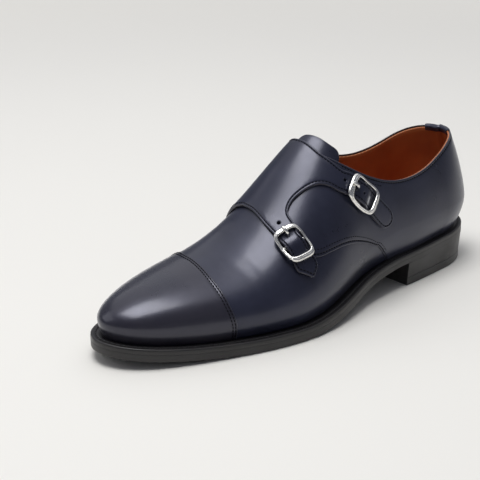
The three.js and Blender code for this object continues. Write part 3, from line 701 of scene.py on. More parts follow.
def stitch_piece(name, runs, pitch, length, radius):
    """Stitches set along runs of (points, normals) in the frame's metres, as one mesh."""
    template, faces = stitch_template(length * MM, radius * MM)
    all_points = []
    all_faces = []
    for points, normals in runs:
        run = lengths_along(points)
        count = int(run[-1] / (pitch * MM))
        if count < 1:
            continue
        for middle in (np.arange(count) + 0.5) * run[-1] / count:
            at, ahead, behind = (np.array([np.interp(middle + shift, run, points[:, i]) for i in range(3)])
                                 for shift in (0.0, STITCH_REACH, -STITCH_REACH))
            up = np.array([np.interp(middle, run, normals[:, i]) for i in range(3)])
            along = ahead - behind
            along /= max(np.linalg.norm(along), 1e-12)
            up -= along * (up @ along)
            up /= max(np.linalg.norm(up), 1e-12)
            basis = np.stack([along, np.cross(up, along), up], 1)
            start = len(all_points) * len(template)
            all_points.append(template @ basis.T + at)
            all_faces += [tuple(start + i for i in face) for face in faces]
    obj = mesh_piece(name, np.concatenate(all_points), all_faces)
    select_only(obj)
    bpy.ops.object.shade_smooth()
    return obj


def seam_run(line, height):
    """Points and normals of a line in the pattern plane at a height off the form."""
    t, side, v = unpattern(line)
    points = off_form(t, side, v, height(line))
    normals = form_normals(t, side, v) * FLIP
    return points, normals


# ---------------------------------------------------------------- shader node groups
COLOUR = "NodeSocketColor"
NUMBER = "NodeSocketFloat"
SURFACE = (("Color", COLOUR), ("Roughness", NUMBER), ("Height", NUMBER))


class Wiring:
    """Adds nodes to a tree and joins their sockets."""

    def __init__(self, tree):
        self.tree = tree

    def node(self, kind, inputs=None, **settings):
        made = self.tree.nodes.new(kind)
        for key, value in settings.items():
            setattr(made, key, value)
        for key, value in (inputs or {}).items():
            if isinstance(value, bpy.types.NodeSocket):
                self.tree.links.new(value, made.inputs[key])
            else:
                made.inputs[key].default_value = value
        return made

    def place(self):
        return self.node("ShaderNodeTexCoord").outputs["Object"]

    def mapped(self, vector, scale):
        return self.node("ShaderNodeMapping", {"Vector": vector, "Scale": scale}).outputs["Vector"]

    def maths(self, operation, a, b=0.0):
        return self.node("ShaderNodeMath", {0: a, 1: b}, operation=operation).outputs[0]

    def weighted(self, first, first_share, second, second_share):
        """The sum of two values, each times its share."""
        return self.maths("ADD", self.maths("MULTIPLY", first, first_share),
                          self.maths("MULTIPLY", second, second_share))

    def noise(self, vector, scale, detail=2.0, roughness=0.5, distortion=0.0):
        inputs = {"Vector": vector, "Scale": scale, "Detail": detail, "Roughness": roughness,
                  "Distortion": distortion}
        return self.node("ShaderNodeTexNoise", inputs).outputs["Fac"]

    def between(self, value, from_low, from_high, to_low=0.0, to_high=1.0, **settings):
        inputs = {"Value": value, "From Min": from_low, "From Max": from_high,
                  "To Min": to_low, "To Max": to_high}
        return self.node("ShaderNodeMapRange", inputs, **settings).outputs["Result"]

    def blend(self, share, a, b):
        """Colour a where the share is 0, colour b where it is 1."""
        return self.node("ShaderNodeMix", {0: share, 6: a, 7: b}, data_type="RGBA").outputs[2]


def new_group(name, inputs, outputs=SURFACE):
    """A shader group with inputs given as (name, kind, default): its wiring and those inputs."""
    group = bpy.data.node_groups.new(name, "ShaderNodeTree")
    for label, kind, default in inputs:
        socket = group.interface.new_socket(name=label, in_out="INPUT", socket_type=kind)
        socket.default_value = default
    for label, kind in outputs:
        group.interface.new_socket(name=label, in_out="OUTPUT", socket_type=kind)
    wire = Wiring(group)
    return wire, wire.node("NodeGroupInput").outputs


def close_group(wire, **values):
    """Joins the group's outputs, each named in lower case."""
    wire.node("NodeGroupOutput", {name.title(): value for name, value in values.items()})
    return wire.tree


def build_calf_grain():
    """Polished calf: soft clouds of tone, fine pores and hair-thin wrinkles."""
    wire, given = new_group("calf_grain", (
        ("Tone", COLOUR, (0.02, 0.02, 0.03, 1)), ("Deep Tone", COLOUR, (0.01, 0.01, 0.015, 1)),
        ("Pore Scale", NUMBER, 1400.0), ("Gloss Low", NUMBER, 0.28), ("Gloss High", NUMBER, 0.42)))
    place = wire.place()
    clouds = wire.noise(place, 26.0, 3.0)
    mottle = wire.noise(place, 240.0, 3.0)
    pores = wire.node("ShaderNodeTexVoronoi", {"Vector": place, "Scale": given["Pore Scale"]},
                      feature="F1").outputs["Distance"]
    wrinkle = wire.noise(place, 520.0, 4.0, distortion=0.6)
    share = wire.weighted(wire.between(clouds, 0.35, 0.65), 0.75, mottle, 0.25)
    smear = wire.between(wire.weighted(clouds, 0.6, mottle, 0.4), 0.35, 0.65)
    gloss_room = wire.maths("SUBTRACT", given["Gloss High"], given["Gloss Low"])
    rough = wire.maths("ADD", wire.maths("MULTIPLY", smear, gloss_room), given["Gloss Low"])
    return close_group(wire, color=wire.blend(share, given["Deep Tone"], given["Tone"]), roughness=rough,
                       height=wire.weighted(pores, 0.45, wrinkle, 0.8))


def build_edge_finish():
    """Masks from a leather sheet's distance to its cut edge, in millimetres: the inked cut edge, where a
    painted highlight is laid too, a darker burnished band inside it, and the seam lines, where the stitch
    groove's shade is painted.
    """
    wire, given = new_group("edge_finish", (
        ("Width", NUMBER, 0.45), ("Halo", NUMBER, 1.6), ("Seam Inset", NUMBER, SEAM_INSET),
        ("Second Inset", NUMBER, SEAM_INSET), ("Seam Half", NUMBER, 0.5)),
        (("Edge", NUMBER), ("Halo", NUMBER), ("Seam", NUMBER)))
    away = wire.node("ShaderNodeAttribute", attribute_name="cut_edge").outputs["Fac"]
    first, second = (wire.maths("ABSOLUTE", wire.maths("SUBTRACT", away, given[name]))
                     for name in ("Seam Inset", "Second Inset"))
    from_seam = wire.maths("MINIMUM", first, second)
    return close_group(wire, edge=wire.between(away, given["Width"], 0.0),
                       halo=wire.between(away, given["Halo"], given["Width"]),
                       seam=wire.between(from_seam, given["Seam Half"], 0.0))


def build_thread_twist():
    """Waxed thread: strands that wind round it, with a little fuzz."""
    wire, given = new_group("thread_twist", (
        ("Tone", COLOUR, (0.02, 0.02, 0.03, 1)), ("Twist", NUMBER, 1800.0)))
    place = wire.place()
    wave = wire.node("ShaderNodeTexWave", {"Vector": place, "Scale": given["Twist"], "Distortion": 1.5},
                     bands_direction="DIAGONAL").outputs["Fac"]
    dark = wire.blend(0.6, given["Tone"], (0.0, 0.0, 0.0, 1))
    fuzz = wire.noise(place, 2600.0)
    return close_group(wire, color=wire.blend(wave, dark, given["Tone"]),
                       roughness=wire.between(fuzz, 0.3, 0.7, 0.45, 0.75), height=wave)


def build_edge_burnish():
    """Inked and waxed sole edge: fibres that run along it, smudges and the lines of layers."""
    wire, given = new_group("edge_burnish", (
        ("Tone", COLOUR, (0.02, 0.02, 0.02, 1)), ("Worn Tone", COLOUR, (0.05, 0.045, 0.04, 1)),
        ("Layer Height", NUMBER, 0.0034), ("Layer Depth", NUMBER, 0.15)))
    place = wire.place()
    fibres = wire.noise(wire.mapped(place, (90.0, 90.0, 1500.0)), 1.0, 4.0, 0.6)
    smudge = wire.noise(place, 60.0, 3.0)
    up = wire.node("ShaderNodeSeparateXYZ", {"Vector": place}).outputs["Z"]
    line = wire.maths("PINGPONG", wire.maths("DIVIDE", up, given["Layer Height"]), 0.5)
    share = wire.maths("MULTIPLY", wire.between(smudge, 0.45, 0.75), wire.between(fibres, 0.35, 0.7))
    return close_group(wire, color=wire.blend(share, given["Tone"], given["Worn Tone"]),
                       roughness=wire.between(smudge, 0.3, 0.7, 0.34, 0.52),
                       height=wire.weighted(fibres, 0.3, wire.between(line, 0.0, 0.06), given["Layer Depth"]))


def build_polish_marks():
    """Plated metal: fine polishing lines, and dull spots with a little tarnish."""
    wire, given = new_group("polish_marks", (
        ("Tone", COLOUR, (0.8, 0.8, 0.78, 1)), ("Tarnish", COLOUR, (0.45, 0.43, 0.4, 1))))
    place = wire.place()
    lines = wire.noise(wire.mapped(place, (400.0, 4000.0, 400.0)), 1.0, 3.0)
    spots = wire.noise(place, 420.0, 3.0)
    worn = wire.between(spots, 0.5, 0.8)
    return close_group(wire, color=wire.blend(worn, given["Tone"], given["Tarnish"]),
                       roughness=wire.between(wire.maths("ADD", lines, spots), 0.7, 1.3, 0.12, 0.3),
                       height=lines)


GROUP_BUILDERS = {
    "calf_grain": build_calf_grain,
    "edge_finish": build_edge_finish,
    "thread_twist": build_thread_twist,
    "edge_burnish": build_edge_burnish,
    "polish_marks": build_polish_marks,
}
GROUPS = {}


def group_node(wire, name, inputs):
    """A node of one of the shared groups, which is built when it is first asked for."""
    if name not in GROUPS:
        GROUPS[name] = GROUP_BUILDERS[name]()
    made = wire.tree.nodes.new("ShaderNodeGroup")
    made.node_tree = GROUPS[name]
    for key, value in inputs.items():
        made.inputs[key].default_value = value
    return made.outputs


def shell_material(name, shader_values):
    """A material with one Principled BSDF, its constant sockets set on the shader itself."""
    material = bpy.data.materials.new(name)
    material.use_nodes = True
    tree = material.node_tree
    tree.nodes.clear()
    wire = Wiring(tree)
    shader = wire.node("ShaderNodeBsdfPrincipled", shader_values)
    wire.node("ShaderNodeOutputMaterial", {"Surface": shader.outputs[0]})
    return material, wire, shader


def join_relief(wire, shader, height, strength, distance):
    bump = wire.node("ShaderNodeBump", {"Height": height, "Strength": strength, "Distance": distance})
    wire.tree.links.new(bump.outputs["Normal"], shader.inputs["Normal"])


def opaque(colour):
    return (*colour, 1.0)


# Near-black painted into the calf's seam lines, at SEAM_SHARE strength: painted shade of the stitch groove.
SEAM_PAINTED_SHADE = (0.003, 0.003, 0.005)
SEAM_SHARE = 0.45
HALO_SHARE = 0.35
GRAIN_RELIEF = 0.25
GRAIN_DEPTH = 0.12 * MM


def calf_material(name, tone, deep, gloss=(0.27, 0.38), coat=0.3, edge=None, pore=1400.0, seams=()):
    """Leather with grain, and an inked or raw cut edge where a piece has one; the inked edge carries a
    painted highlight, and the seam lines a painted shade.
    """
    values = {"Coat Weight": coat, "Coat Roughness": 0.18, "IOR": 1.5, "Sheen Weight": 0.04,
              "Sheen Roughness": 0.4, "Specular Tint": (0.80, 0.81, 1.0, 1),
              "Coat Tint": (0.92, 0.93, 1.0, 1)}
    material, wire, shader = shell_material(name, values)
    given = {"Tone": opaque(tone), "Deep Tone": opaque(deep), "Pore Scale": pore,
             "Gloss Low": gloss[0], "Gloss High": gloss[1]}
    grain = group_node(wire, "calf_grain", given)
    colour = grain["Color"]
    if edge:
        rows = {"Seam Inset": seams[0], "Second Inset": seams[-1]} if seams else {}
        finish = group_node(wire, "edge_finish", rows)
        colour = wire.blend(wire.maths("MULTIPLY", finish["Halo"], HALO_SHARE), colour, opaque(deep))
        # The inked edge is lighter than the calf: real ink with a painted highlight of the edge's rounding.
        colour = wire.blend(finish["Edge"], colour, opaque(edge))
    if seams:
        # Painted shade: the seam lines darken towards near-black, standing in for the stitch groove's shadow.
        shade = wire.maths("MULTIPLY", finish["Seam"], SEAM_SHARE)
        colour = wire.blend(shade, colour, opaque(SEAM_PAINTED_SHADE))
        bare = wire.maths("MULTIPLY", wire.maths("SUBTRACT", 1.0, finish["Seam"]), coat)
        wire.tree.links.new(bare, shader.inputs["Coat Weight"])
    wire.tree.links.new(colour, shader.inputs["Base Color"])
    wire.tree.links.new(grain["Roughness"], shader.inputs["Roughness"])
    join_relief(wire, shader, grain["Height"], GRAIN_RELIEF, GRAIN_DEPTH)
    return material


def grouped_material(name, values, group, given, relief, depth):
    """A material whose colour, roughness and relief all come from one group."""
    material, wire, shader = shell_material(name, values)
    surface = group_node(wire, group, given)
    wire.tree.links.new(surface["Color"], shader.inputs["Base Color"])
    wire.tree.links.new(surface["Roughness"], shader.inputs["Roughness"])
    join_relief(wire, shader, surface["Height"], relief, depth)
    return material


def thread_material(name, tone, spec):
    values = {"Specular IOR Level": spec, "IOR": 1.5}
    return grouped_material(name, values, "thread_twist", {"Tone": opaque(tone)}, 0.4, 0.0001)


def edge_material(name, tone, worn, layer_depth):
    values = {"Coat Weight": 0.12, "Coat Roughness": 0.3, "IOR": 1.5}
    given = {"Tone": opaque(tone), "Worn Tone": opaque(worn), "Layer Depth": layer_depth}
    return grouped_material(name, values, "edge_burnish", given, 0.08, 0.0002)


def metal_material(name, tone, tarnish):
    given = {"Tone": opaque(tone), "Tarnish": opaque(tarnish)}
    return grouped_material(name, {"Metallic": 1.0}, "polish_marks", given, 0.05, 0.00005)


MATERIALS = {}


def material_for(name):
    """The named material, made from the scene's colours when it is first asked for."""
    tones = bpy.context.scene.shoe_finish
    edge, navy_deep = tones.inked_edge_highlight, tones.calf_deep_tone
    lining = (tones.lining_tone, tones.lining_deep_tone)
    sole = (tones.sole_tone, tones.sole_worn_tone)
    makers = {
        "navy_calf": lambda: calf_material(name, tones.calf_tone, navy_deep, edge=edge, seams=(SEAM_INSET,)),
        "cap_calf": lambda: calf_material(name, tones.cap_tone, navy_deep, gloss=(0.24, 0.34), coat=0.4,
                                          edge=edge, seams=CAP_ROWS),
        "cognac_lining": lambda: calf_material(name, *lining, gloss=(0.42, 0.6), coat=0.0,
                                               edge=tones.raw_edge, pore=900.0),
        "sock_leather": lambda: calf_material(name, *lining, gloss=(0.45, 0.65), coat=0.0, pore=800.0),
        "sole_edge": lambda: edge_material(name, *sole, 0.0),
        "heel_edge": lambda: edge_material(name, *sole, 0.1),
        "heel_rubber": lambda: edge_material(name, tones.rubber_tone, tones.rubber_worn_tone, 0.0),
        "navy_thread": lambda: thread_material(name, tones.thread_tone, 0.1),
        "welt_thread": lambda: thread_material(name, tones.welt_thread_tone, 0.4),
        "nickel": lambda: metal_material(name, tones.metal_tone, tones.tarnish_tone),
    }
    if name not in MATERIALS:
        MATERIALS[name] = makers[name]()
    return MATERIALS[name]


# ---------------------------------------------------------------- sizes and colours
def colour_property(name, description, default):
    return bpy.props.FloatVectorProperty(name=name, description=description, subtype="COLOR", size=3,
                                         min=0.0, max=1.0, default=default)


class ShoeFinish(bpy.types.PropertyGroup):
    """Colours of the leathers, threads, edges and buckles."""

    calf_tone: colour_property("Calf", "Light tone of the navy calf", (0.017, 0.019, 0.036))
    calf_deep_tone: colour_property("Calf, deep", "Deep tone of the navy calf", (0.006, 0.007, 0.016))
    cap_tone: colour_property("Toe cap", "Light tone of the burnished toe cap", (0.021, 0.019, 0.026))
    # Lighter than the calf: the cut edge's ink with a painted highlight of its rounding laid in.
    inked_edge_highlight: colour_property("Inked edge", "Cut edge of the upper leather", (0.040, 0.038, 0.046))
    lining_tone: colour_property("Lining", "Light tone of the lining", (0.50, 0.150, 0.040))
    lining_deep_tone: colour_property("Lining, deep", "Deep tone of the lining", (0.34, 0.080, 0.018))
    raw_edge: colour_property("Raw edge", "Cut edge of the lining", (0.50, 0.24, 0.12))
    sole_tone: colour_property("Sole edge", "Ink of the sole and heel edges", (0.012, 0.011, 0.012))
    sole_worn_tone: colour_property("Sole edge, light", "Where the edge ink is thin", (0.021, 0.018, 0.017))
    # Near-black: the thread's dark tone with painted shade of the stitch rows worked in.
    thread_tone: colour_property("Thread", "Thread of the upper's seams", (0.005, 0.005, 0.008))
    rubber_tone: colour_property("Top piece", "Rubber of the heel's top piece", (0.012, 0.012, 0.012))
    rubber_worn_tone: colour_property("Top piece, light", "Where the rubber is rubbed", (0.03, 0.03, 0.03))
    welt_thread_tone: colour_property("Welt thread", "Thread of the welt seam", (0.030, 0.030, 0.032))
    metal_tone: colour_property("Nickel", "Buckle plating", (0.86, 0.85, 0.82))
    tarnish_tone: colour_property("Nickel, dull", "Where the plating is dull", (0.5, 0.49, 0.46))


def length_property(name, description, millimetres, least):
    return bpy.props.FloatProperty(name=name, description=description, default=millimetres * MM,
                                   min=least * MM, unit="LENGTH")


class ShoeSizes(bpy.types.PropertyGroup):
    """Sizes of stitches, edges and layers."""

    stitch_pitch: length_property("Stitch pitch", "Distance between the upper's stitches", 2.3, 0.5)
    stitch_length: length_property("Stitch length", "Length of one stitch of the upper", 1.6, 0.3)
    stitch_radius: length_property("Thread radius", "Radius of the upper's thread", 0.32, 0.05)
    seam_inset: length_property("Seam inset", "Distance of a seam from its sheet's edge", SEAM_INSET, 0.5)
    welt_pitch: length_property("Welt stitch pitch", "Distance between the welt's stitches", 3.4, 1.0)
    sheet_spacing: length_property("Sheet spacing", "Distance between a sheet's points", 2.1, 1.0)


def sizes():
    return bpy.context.scene.shoe_sizes


# ---------------------------------------------------------------- sole pieces
SOLE_STEPS = 150
HEEL_STEPS = 70
MARGIN_FROM_S = 60.0           # the sole's edge widens from here to the forefoot
MARGIN_FADE = 90.0
WELT_INSIDE = 3.0
WELT_WIDTH = EDGE_MARGIN_FORE + WELT_INSIDE
LAYER_GAP = 0.3
LIFT_GAP = 0.05                # joint between outsole, welt, heel and top piece
SQUARE_SHARE = 0.06            # what is left of the outsole's rounding over the heel
SQUARE_FADE = 4.0
HEEL_TAPER = 0.97
HEEL_INSET = 0.15
HEEL_DRAW = 30.0               # how far the taper would draw the back in at full strength
CHAMFER = 0.004                # a joint's chamfer as a share of the heel's width
CHAMFER_HIGH = 0.14
WELT_SEAM_INSET = 3.2
WELT_SEAM_BACK_S = 70.0
WELT_STITCH_SHARE = 0.86
WELT_THREAD_RADIUS = 0.42


def sole_edge(t, side, inward):
    """The sole's edge in plan, in or out of its outline by a distance."""
    edge_x, edge_s = feather_edge(t, side)
    out_x, out_s = edge_normal(t, side)
    blend = ease((edge_s - MARGIN_FROM_S) / MARGIN_FADE)
    margin = EDGE_MARGIN_HEEL + (EDGE_MARGIN_FORE - EDGE_MARGIN_HEEL) * blend - inward
    return edge_x + out_x * margin, edge_s + out_s * margin


def ring_places(t_end=1.0, steps=SOLE_STEPS):
    """t and side round the shoe: lateral from the heel to the front, medial back again."""
    out = np.linspace(0, t_end, steps + 1)
    back = out[-2:0:-1] if t_end == 1.0 else out[:0:-1]
    t = np.concatenate([out, back])
    side = np.concatenate([np.ones(len(out)), -np.ones(len(back))])
    return t, side


def sole_row(inward, height_at):
    """One ring of the sole; an edge that is rounded in front stays square over the heel."""
    t, side = ring_places()
    if callable(inward):
        inward = inward(sole_edge(t, side, 0.0)[1])
    x, s = sole_edge(t, side, inward)
    return to_row(np.stack([x, s, height_at(s) + np.zeros_like(s)], -1))


def close_with_rungs(name, rows):
    """A lofted block: walls through the rows, and straight rungs across its first and last."""
    rows = np.asarray(rows)
    size = rows.shape[1]
    faces = []
    for k in range(len(rows) - 1):
        for i in range(size):
            j = (i + 1) % size
            faces.append((k * size + i, k * size + j, (k + 1) * size + j, (k + 1) * size + i))
    for start in (0, (len(rows) - 1) * size):
        for i in range(size // 2 + 1):
            ends = (i, i + 1, (size - i - 1) % size, (size - i) % size)
            ring = tuple(dict.fromkeys(start + (e % size) for e in ends))
            if len(ring) > 2 and i + 1 <= (size - i - 1):
                faces.append(ring if start else ring[::-1])
    obj = mesh_piece(name, rows.reshape(-1, 3), faces)
    weld(obj, 5e-6)
    return obj


class SHOE_OT_outsole(bpy.types.Operator):
    """Leather outsole with a rounded, waxed edge"""

    bl_idname = "shoe.outsole"
    bl_label = "Outsole"

    def execute(self, context):
        inner = WELT_WIDTH + LAYER_GAP

        def square(s):
            return SQUARE_SHARE + (1 - SQUARE_SHARE) * ease((s - HEEL_BREAST_S) / SQUARE_FADE + 1)

        def rounded(inward, up):
            return lambda s: inward * square(s), lambda s: sole_bottom(s) + up * square(s)

        profile = (
            (16.0, sole_bottom),
            rounded(1.0, 0.0),
            rounded(0.55, 0.06),
            rounded(0.22, 0.26),
            rounded(0.05, 0.6),
            rounded(0.0, 1.1),
            (0.0, lambda s: outsole_top(s) - 1.0),
            (0.0, lambda s: outsole_top(s) - 0.05),
            (0.02, outsole_top),
            (inner, outsole_top),
            (inner, lambda s: feather_height(s) - LAYER_GAP / 2),
        )
        obj = close_with_rungs("visual_outsole", [sole_row(*row) for row in profile])
        smooth(obj, SMOOTH_SOLE)
        finish_piece(obj, material_for("sole_edge"), "sole_leather", "outsole")
        return {"FINISHED"}


class SHOE_OT_welt(bpy.types.Operator):
    """Welt strip with a stitch channel along its top"""

    bl_idname = "shoe.welt"
    bl_label = "Welt"

    def execute(self, context):
        low = lambda s: outsole_top(s) + LIFT_GAP
        top = feather_height
        # Distance inwards from the edge, and height: the edge, a rounded lip, then the stitch channel.
        profile = (
            (0.02, low),
            (0.0, lambda s: low(s) + 0.05),
            (0.0, lambda s: (low(s) + top(s)) / 2),
            (0.08, lambda s: top(s) - 0.5),
            (0.35, lambda s: top(s) - 0.14),
            (0.9, lambda s: top(s) + 0.04),
            (1.5, top),
            (2.5, lambda s: top(s) + 0.02),
            (2.95, lambda s: top(s) - 0.28),
            (3.5, lambda s: top(s) - 0.28),
            (3.95, lambda s: top(s) + 0.02),
            (5.6, top),
            (6.6, lambda s: top(s) - 0.35),
            (WELT_WIDTH, lambda s: top(s) - 0.4),
            (WELT_WIDTH, low),
        )
        obj = band_mesh("visual_welt", [sole_row(*row) for row in profile])
        smooth(obj, SMOOTH_SOLE)
        finish_piece(obj, material_for("sole_edge"), "welt_leather", "welt")
        return {"FINISHED"}


class SHOE_OT_welt_stitches(bpy.types.Operator):
    """Thick waxed stitches in the welt's channel"""

    bl_idname = "shoe.welt_stitches"
    bl_label = "Welt stitches"

    def execute(self, context):
        t, side = ring_places(steps=400)
        x, s = sole_edge(t, side, WELT_SEAM_INSET)
        shown = np.nonzero(s > WELT_SEAM_BACK_S)[0]
        points = to_row(np.stack([x, s, feather_height(s) + 0.05], -1))[shown[0]:shown[-1] + 1]
        normals = np.tile(np.array([0.0, 0.0, 1.0]), (len(points), 1))
        pitch = sizes().welt_pitch / MM
        obj = stitch_piece("welt_stitches", [(points, normals)], pitch, pitch * WELT_STITCH_SHARE,
                           WELT_THREAD_RADIUS)
        finish_piece(obj, material_for("welt_thread"), "welt_leather")
        return {"FINISHED"}


def heel_row(taper, height_at):
    """One ring of the heel, drawn in towards its middle by the taper."""
    t, side = ring_places(float(t_at(HEEL_BREAST_S)), HEEL_STEPS)
    x, s = sole_edge(t, side, HEEL_INSET)
    s = np.minimum(s, HEEL_BREAST_S)
    drawn = s + (1 - s / HEEL_BREAST_S) * (1 - taper) * HEEL_DRAW
    return to_row(np.stack([x * taper, drawn, height_at(s) + np.zeros_like(s)], -1))


class SHOE_OT_heel(bpy.types.Operator):
    """Stacked leather heel and its rubber top piece"""

    bl_idname = "shoe.heel"
    bl_label = "Heel"

    def execute(self, context):
        floor = TOP_PIECE_THICK + LIFT_GAP
        ceiling = lambda s: sole_bottom(s) - LIFT_GAP
        self.block("visual_heel_stack", "heel_edge", "heel_leather", "heel_stack", (
            (HEEL_TAPER - CHAMFER, lambda s: floor),
            (HEEL_TAPER, lambda s: floor + CHAMFER_HIGH),
            ((1 + HEEL_TAPER) / 2, lambda s: (floor + ceiling(s)) / 2),
            (1.0, lambda s: ceiling(s) - CHAMFER_HIGH),
            (0.997, ceiling),
        ))
        self.block("visual_heel_top_piece", "heel_rubber", "top_piece_rubber", "heel_top_piece", (
            (HEEL_TAPER - 0.03, lambda s: 0.0),
            (HEEL_TAPER - 0.008, lambda s: 0.0),
            (HEEL_TAPER, lambda s: 0.6),
            (HEEL_TAPER, lambda s: TOP_PIECE_THICK - CHAMFER_HIGH),
            (HEEL_TAPER - CHAMFER, lambda s: TOP_PIECE_THICK),
        ))
        return {"FINISHED"}

    def block(self, name, material, slot, node, profile):
        obj = close_with_rungs(name, [heel_row(taper, height) for taper, height in profile])
        smooth(obj, SMOOTH_SOLE)
        finish_piece(obj, material_for(material), slot, node)


# ---------------------------------------------------------------- the upper's outlines
QUARTER_THICK = 0.78
VAMP_OUT = -0.8
VAMP_IN = -1.7
LINING_OUT = -1.75
LINING_IN = -2.2
LINING_ROWS = 24
LINING_DROP = (0.002, 0.010)   # how far below the opening it ends, lateral and medial, as shares of v
# The lining's rim: rise in v, offset where a rib has no opening, offset where it has one.
LINING_RIM = ((0.002, -1.95, -1.95), (0.002, -1.75, -1.05), (0.0, LINING_OUT, -0.86),
              (-0.02, LINING_OUT, -0.86))
THROAT_BACK_T = float(t_at(127.0))
THROAT_FRONT_T = float(t_at(172.0))
THROAT_V = 0.925
VAMP_BACK_T = 0.34
WHOLE_RIB = 0.999              # a rib whose top is above this share runs up to the crest
FOOT_TUCK = 0.4 * MM           # how far a shell's foot reaches down behind the welt
HEEL_SEAM_T = 0.004

COLLAR_T = np.linspace(0, 1, 241)
COLLAR_V = {side: collar_share(COLLAR_T, side) for side in (1.0, -1.0)}


def collar_v(t, side):
    return np.where(side > 0, np.interp(t, COLLAR_T, COLLAR_V[1.0]), np.interp(t, COLLAR_T, COLLAR_V[-1.0]))


def opening_v(t, side):
    """Top of the vamp and lining: the collar, then the throat, then the crest."""
    top = collar_v(t, side)
    return np.where(t < THROAT_FRONT_T, np.minimum(top, THROAT_V), top)


# The seam of lateral quarter and vamp, from the feather edge up under the lower strap.
LATERAL_SEAM = ((0.381, 0.0), (0.4, 0.115), (0.425, 0.245), (0.456, 0.328), (0.494, 0.395), (0.525, 0.435),
                (0.550, 0.478), (0.566, 0.56), (0.572, 0.70), (0.568, 0.925))
# The medial quarter's seam, from the feather edge up to the corner below the flap.
MEDIAL_SEAM = ((0.375, 0.0), (0.3935, 0.056), (0.425, 0.175), (0.459, 0.277), (0.4925, 0.335),
               (0.5235, 0.368), (0.552, 0.395))
MEDIAL_CORNER = ((0.552, 0.395), (0.560, 0.402), (0.566, 0.425), (0.5685, 0.46))
MEDIAL_FRONT = ((0.5685, 0.46), (0.572, 0.56), (0.5745, 0.75), (0.5748, 0.92))


def quarter_back(side, start, front_t, steps, most_v, seam_foot_t):
    """The collar from front_t to the heel seam, down the seam, and along the feather edge."""
    t = np.linspace(front_t, HEEL_SEAM_T, steps)
    top = pattern_from(t, float(side), np.minimum(collar_v(t, side * np.ones_like(t)), most_v))[::2]
    collar = smooth_run(np.concatenate([start, top]))
    heel = smooth_run(np.array([collar[-1], on_ribs(side, ((HEEL_SEAM_T, 0.0),))[0]]))
    feather = smooth_run(on_ribs(side, [(t, 0.0) for t in np.linspace(HEEL_SEAM_T, seam_foot_t, 40)]))
    return collar, heel, feather


def lateral_quarter_outline():
    seam = smooth_run(on_ribs(1, LATERAL_SEAM))
    nothing = np.empty((0, 2))
    back = quarter_back(1, nothing, LATERAL_SEAM[-1][0], 150, THROAT_V, LATERAL_SEAM[0][0])
    return join_runs(seam, *back)


# The flap's and the straps' edges in order round the outline. Places on the straps are (a, b) of
# their buckle, places on the crest (side, t, v), and the others (s, z) seen from the side.
FLAP_FRONT_CREST = ((-1, 0.5748, 0.92), (-1, 0.5745, 0.96), (-1, 0.5748, 0.999),
                    (1, 0.5752, 0.96), (1, 0.5775, 0.90), (1, 0.5812, 0.80))
LOWER_FRONT = ((-13.8, -6.2), (-10.8, -6.15), (-8.0, -6.2), (0.0, -6.2), (8.0, -6.4), (12.0, -7.6),
               (15.6, -7.9))
LOWER_TAIL = (((17.0, -7.2), (17.8, -6.4)), ((17.8, -6.4), (20.0, -4.0), (22.2, -1.8)),
              ((22.2, -1.8), (23.1, -0.4), (22.4, 1.0)), ((22.4, 1.0), (20.2, 3.8), (17.8, 6.0)),
              ((17.8, 6.0), (15.5, 6.9), (12.0, 7.0)))
LOWER_BACK = ((12.0, 7.0), (8.0, 6.4), (0.0, 6.2), (-6.5, 6.4))
CUT_OUT = ((174.3, 67.2), (173.3, 72.0), (170.0, 75.6), (165.8, 79.0), (161.0, 82.0), (155.0, 84.9),
           (149.5, 86.2), (144.0, 85.0), (138.6, 81.2))
UPPER_FRONT = ((-12.5, -7.2), (-8.0, -6.3), (0.0, -6.2), (8.0, -6.0), (12.0, -6.1), (16.5, -6.4))
UPPER_TAIL = ((16.5, -6.4), (23.0, -6.5), (27.5, -5.6), (30.4, -2.6), (31.2, 1.4), (28.6, 5.2),
              (22.5, 6.7), (12.0, 6.9))
UPPER_BACK = ((12.0, 7.0), (8.0, 6.4), (0.0, 6.2), (-8.0, 6.3), (-12.5, 7.0))
FLAP_TOP = ((129.5, 91.6), (134.5, 97.0), (138.0, 102.0))
FLAP_BACK_CREST = ((1, 0.4795, 0.955), (-1, 0.4805, 0.985), (-1, 0.4800, 0.93))
MEDIAL_COLLAR_T = 0.4765
MEDIAL_COLLAR_V = 0.90


def at_crest(places):
    """Pattern places of (side, t, v) triples near the crest."""
    side, t, v = np.array(places, float).T
    return pattern_from(t, side, v)


def medial_flap_outline():
    """The medial quarter, the flap that leaves it over the instep, and both straps."""
    upper, lower = BUCKLES
    front = smooth_run(np.concatenate([on_ribs(-1, MEDIAL_FRONT)[:-1], at_crest(FLAP_FRONT_CREST),
                                       lower.pattern(LOWER_FRONT)]))
    tail = [lower.pattern(bend) for bend in LOWER_TAIL]
    tail[0] = np.concatenate([front[-1:], tail[0]])
    tail = [smooth_run(bend) for bend in tail]
    doubled = tail[-1][[-1, -1]]   # this corner stands twice, so inset lines turn it in two steps
    inner = np.concatenate([lower.pattern(LOWER_BACK), seen_from_side(1, CUT_OUT),
                            upper.pattern(UPPER_FRONT)])
    back = smooth_run(np.concatenate([upper.pattern(UPPER_BACK), seen_from_side(1, FLAP_TOP),
                                      at_crest(FLAP_BACK_CREST)]))
    quarter = quarter_back(-1, back[-1:], MEDIAL_COLLAR_T, 130, MEDIAL_COLLAR_V, MEDIAL_SEAM[0][0])
    seam, corner = (smooth_run(on_ribs(-1, line)) for line in (MEDIAL_SEAM, MEDIAL_CORNER))
    return join_runs(front, *tail, doubled, smooth_run(inner),
                     smooth_run(upper.pattern(UPPER_TAIL)), back, *quarter, seam, corner)


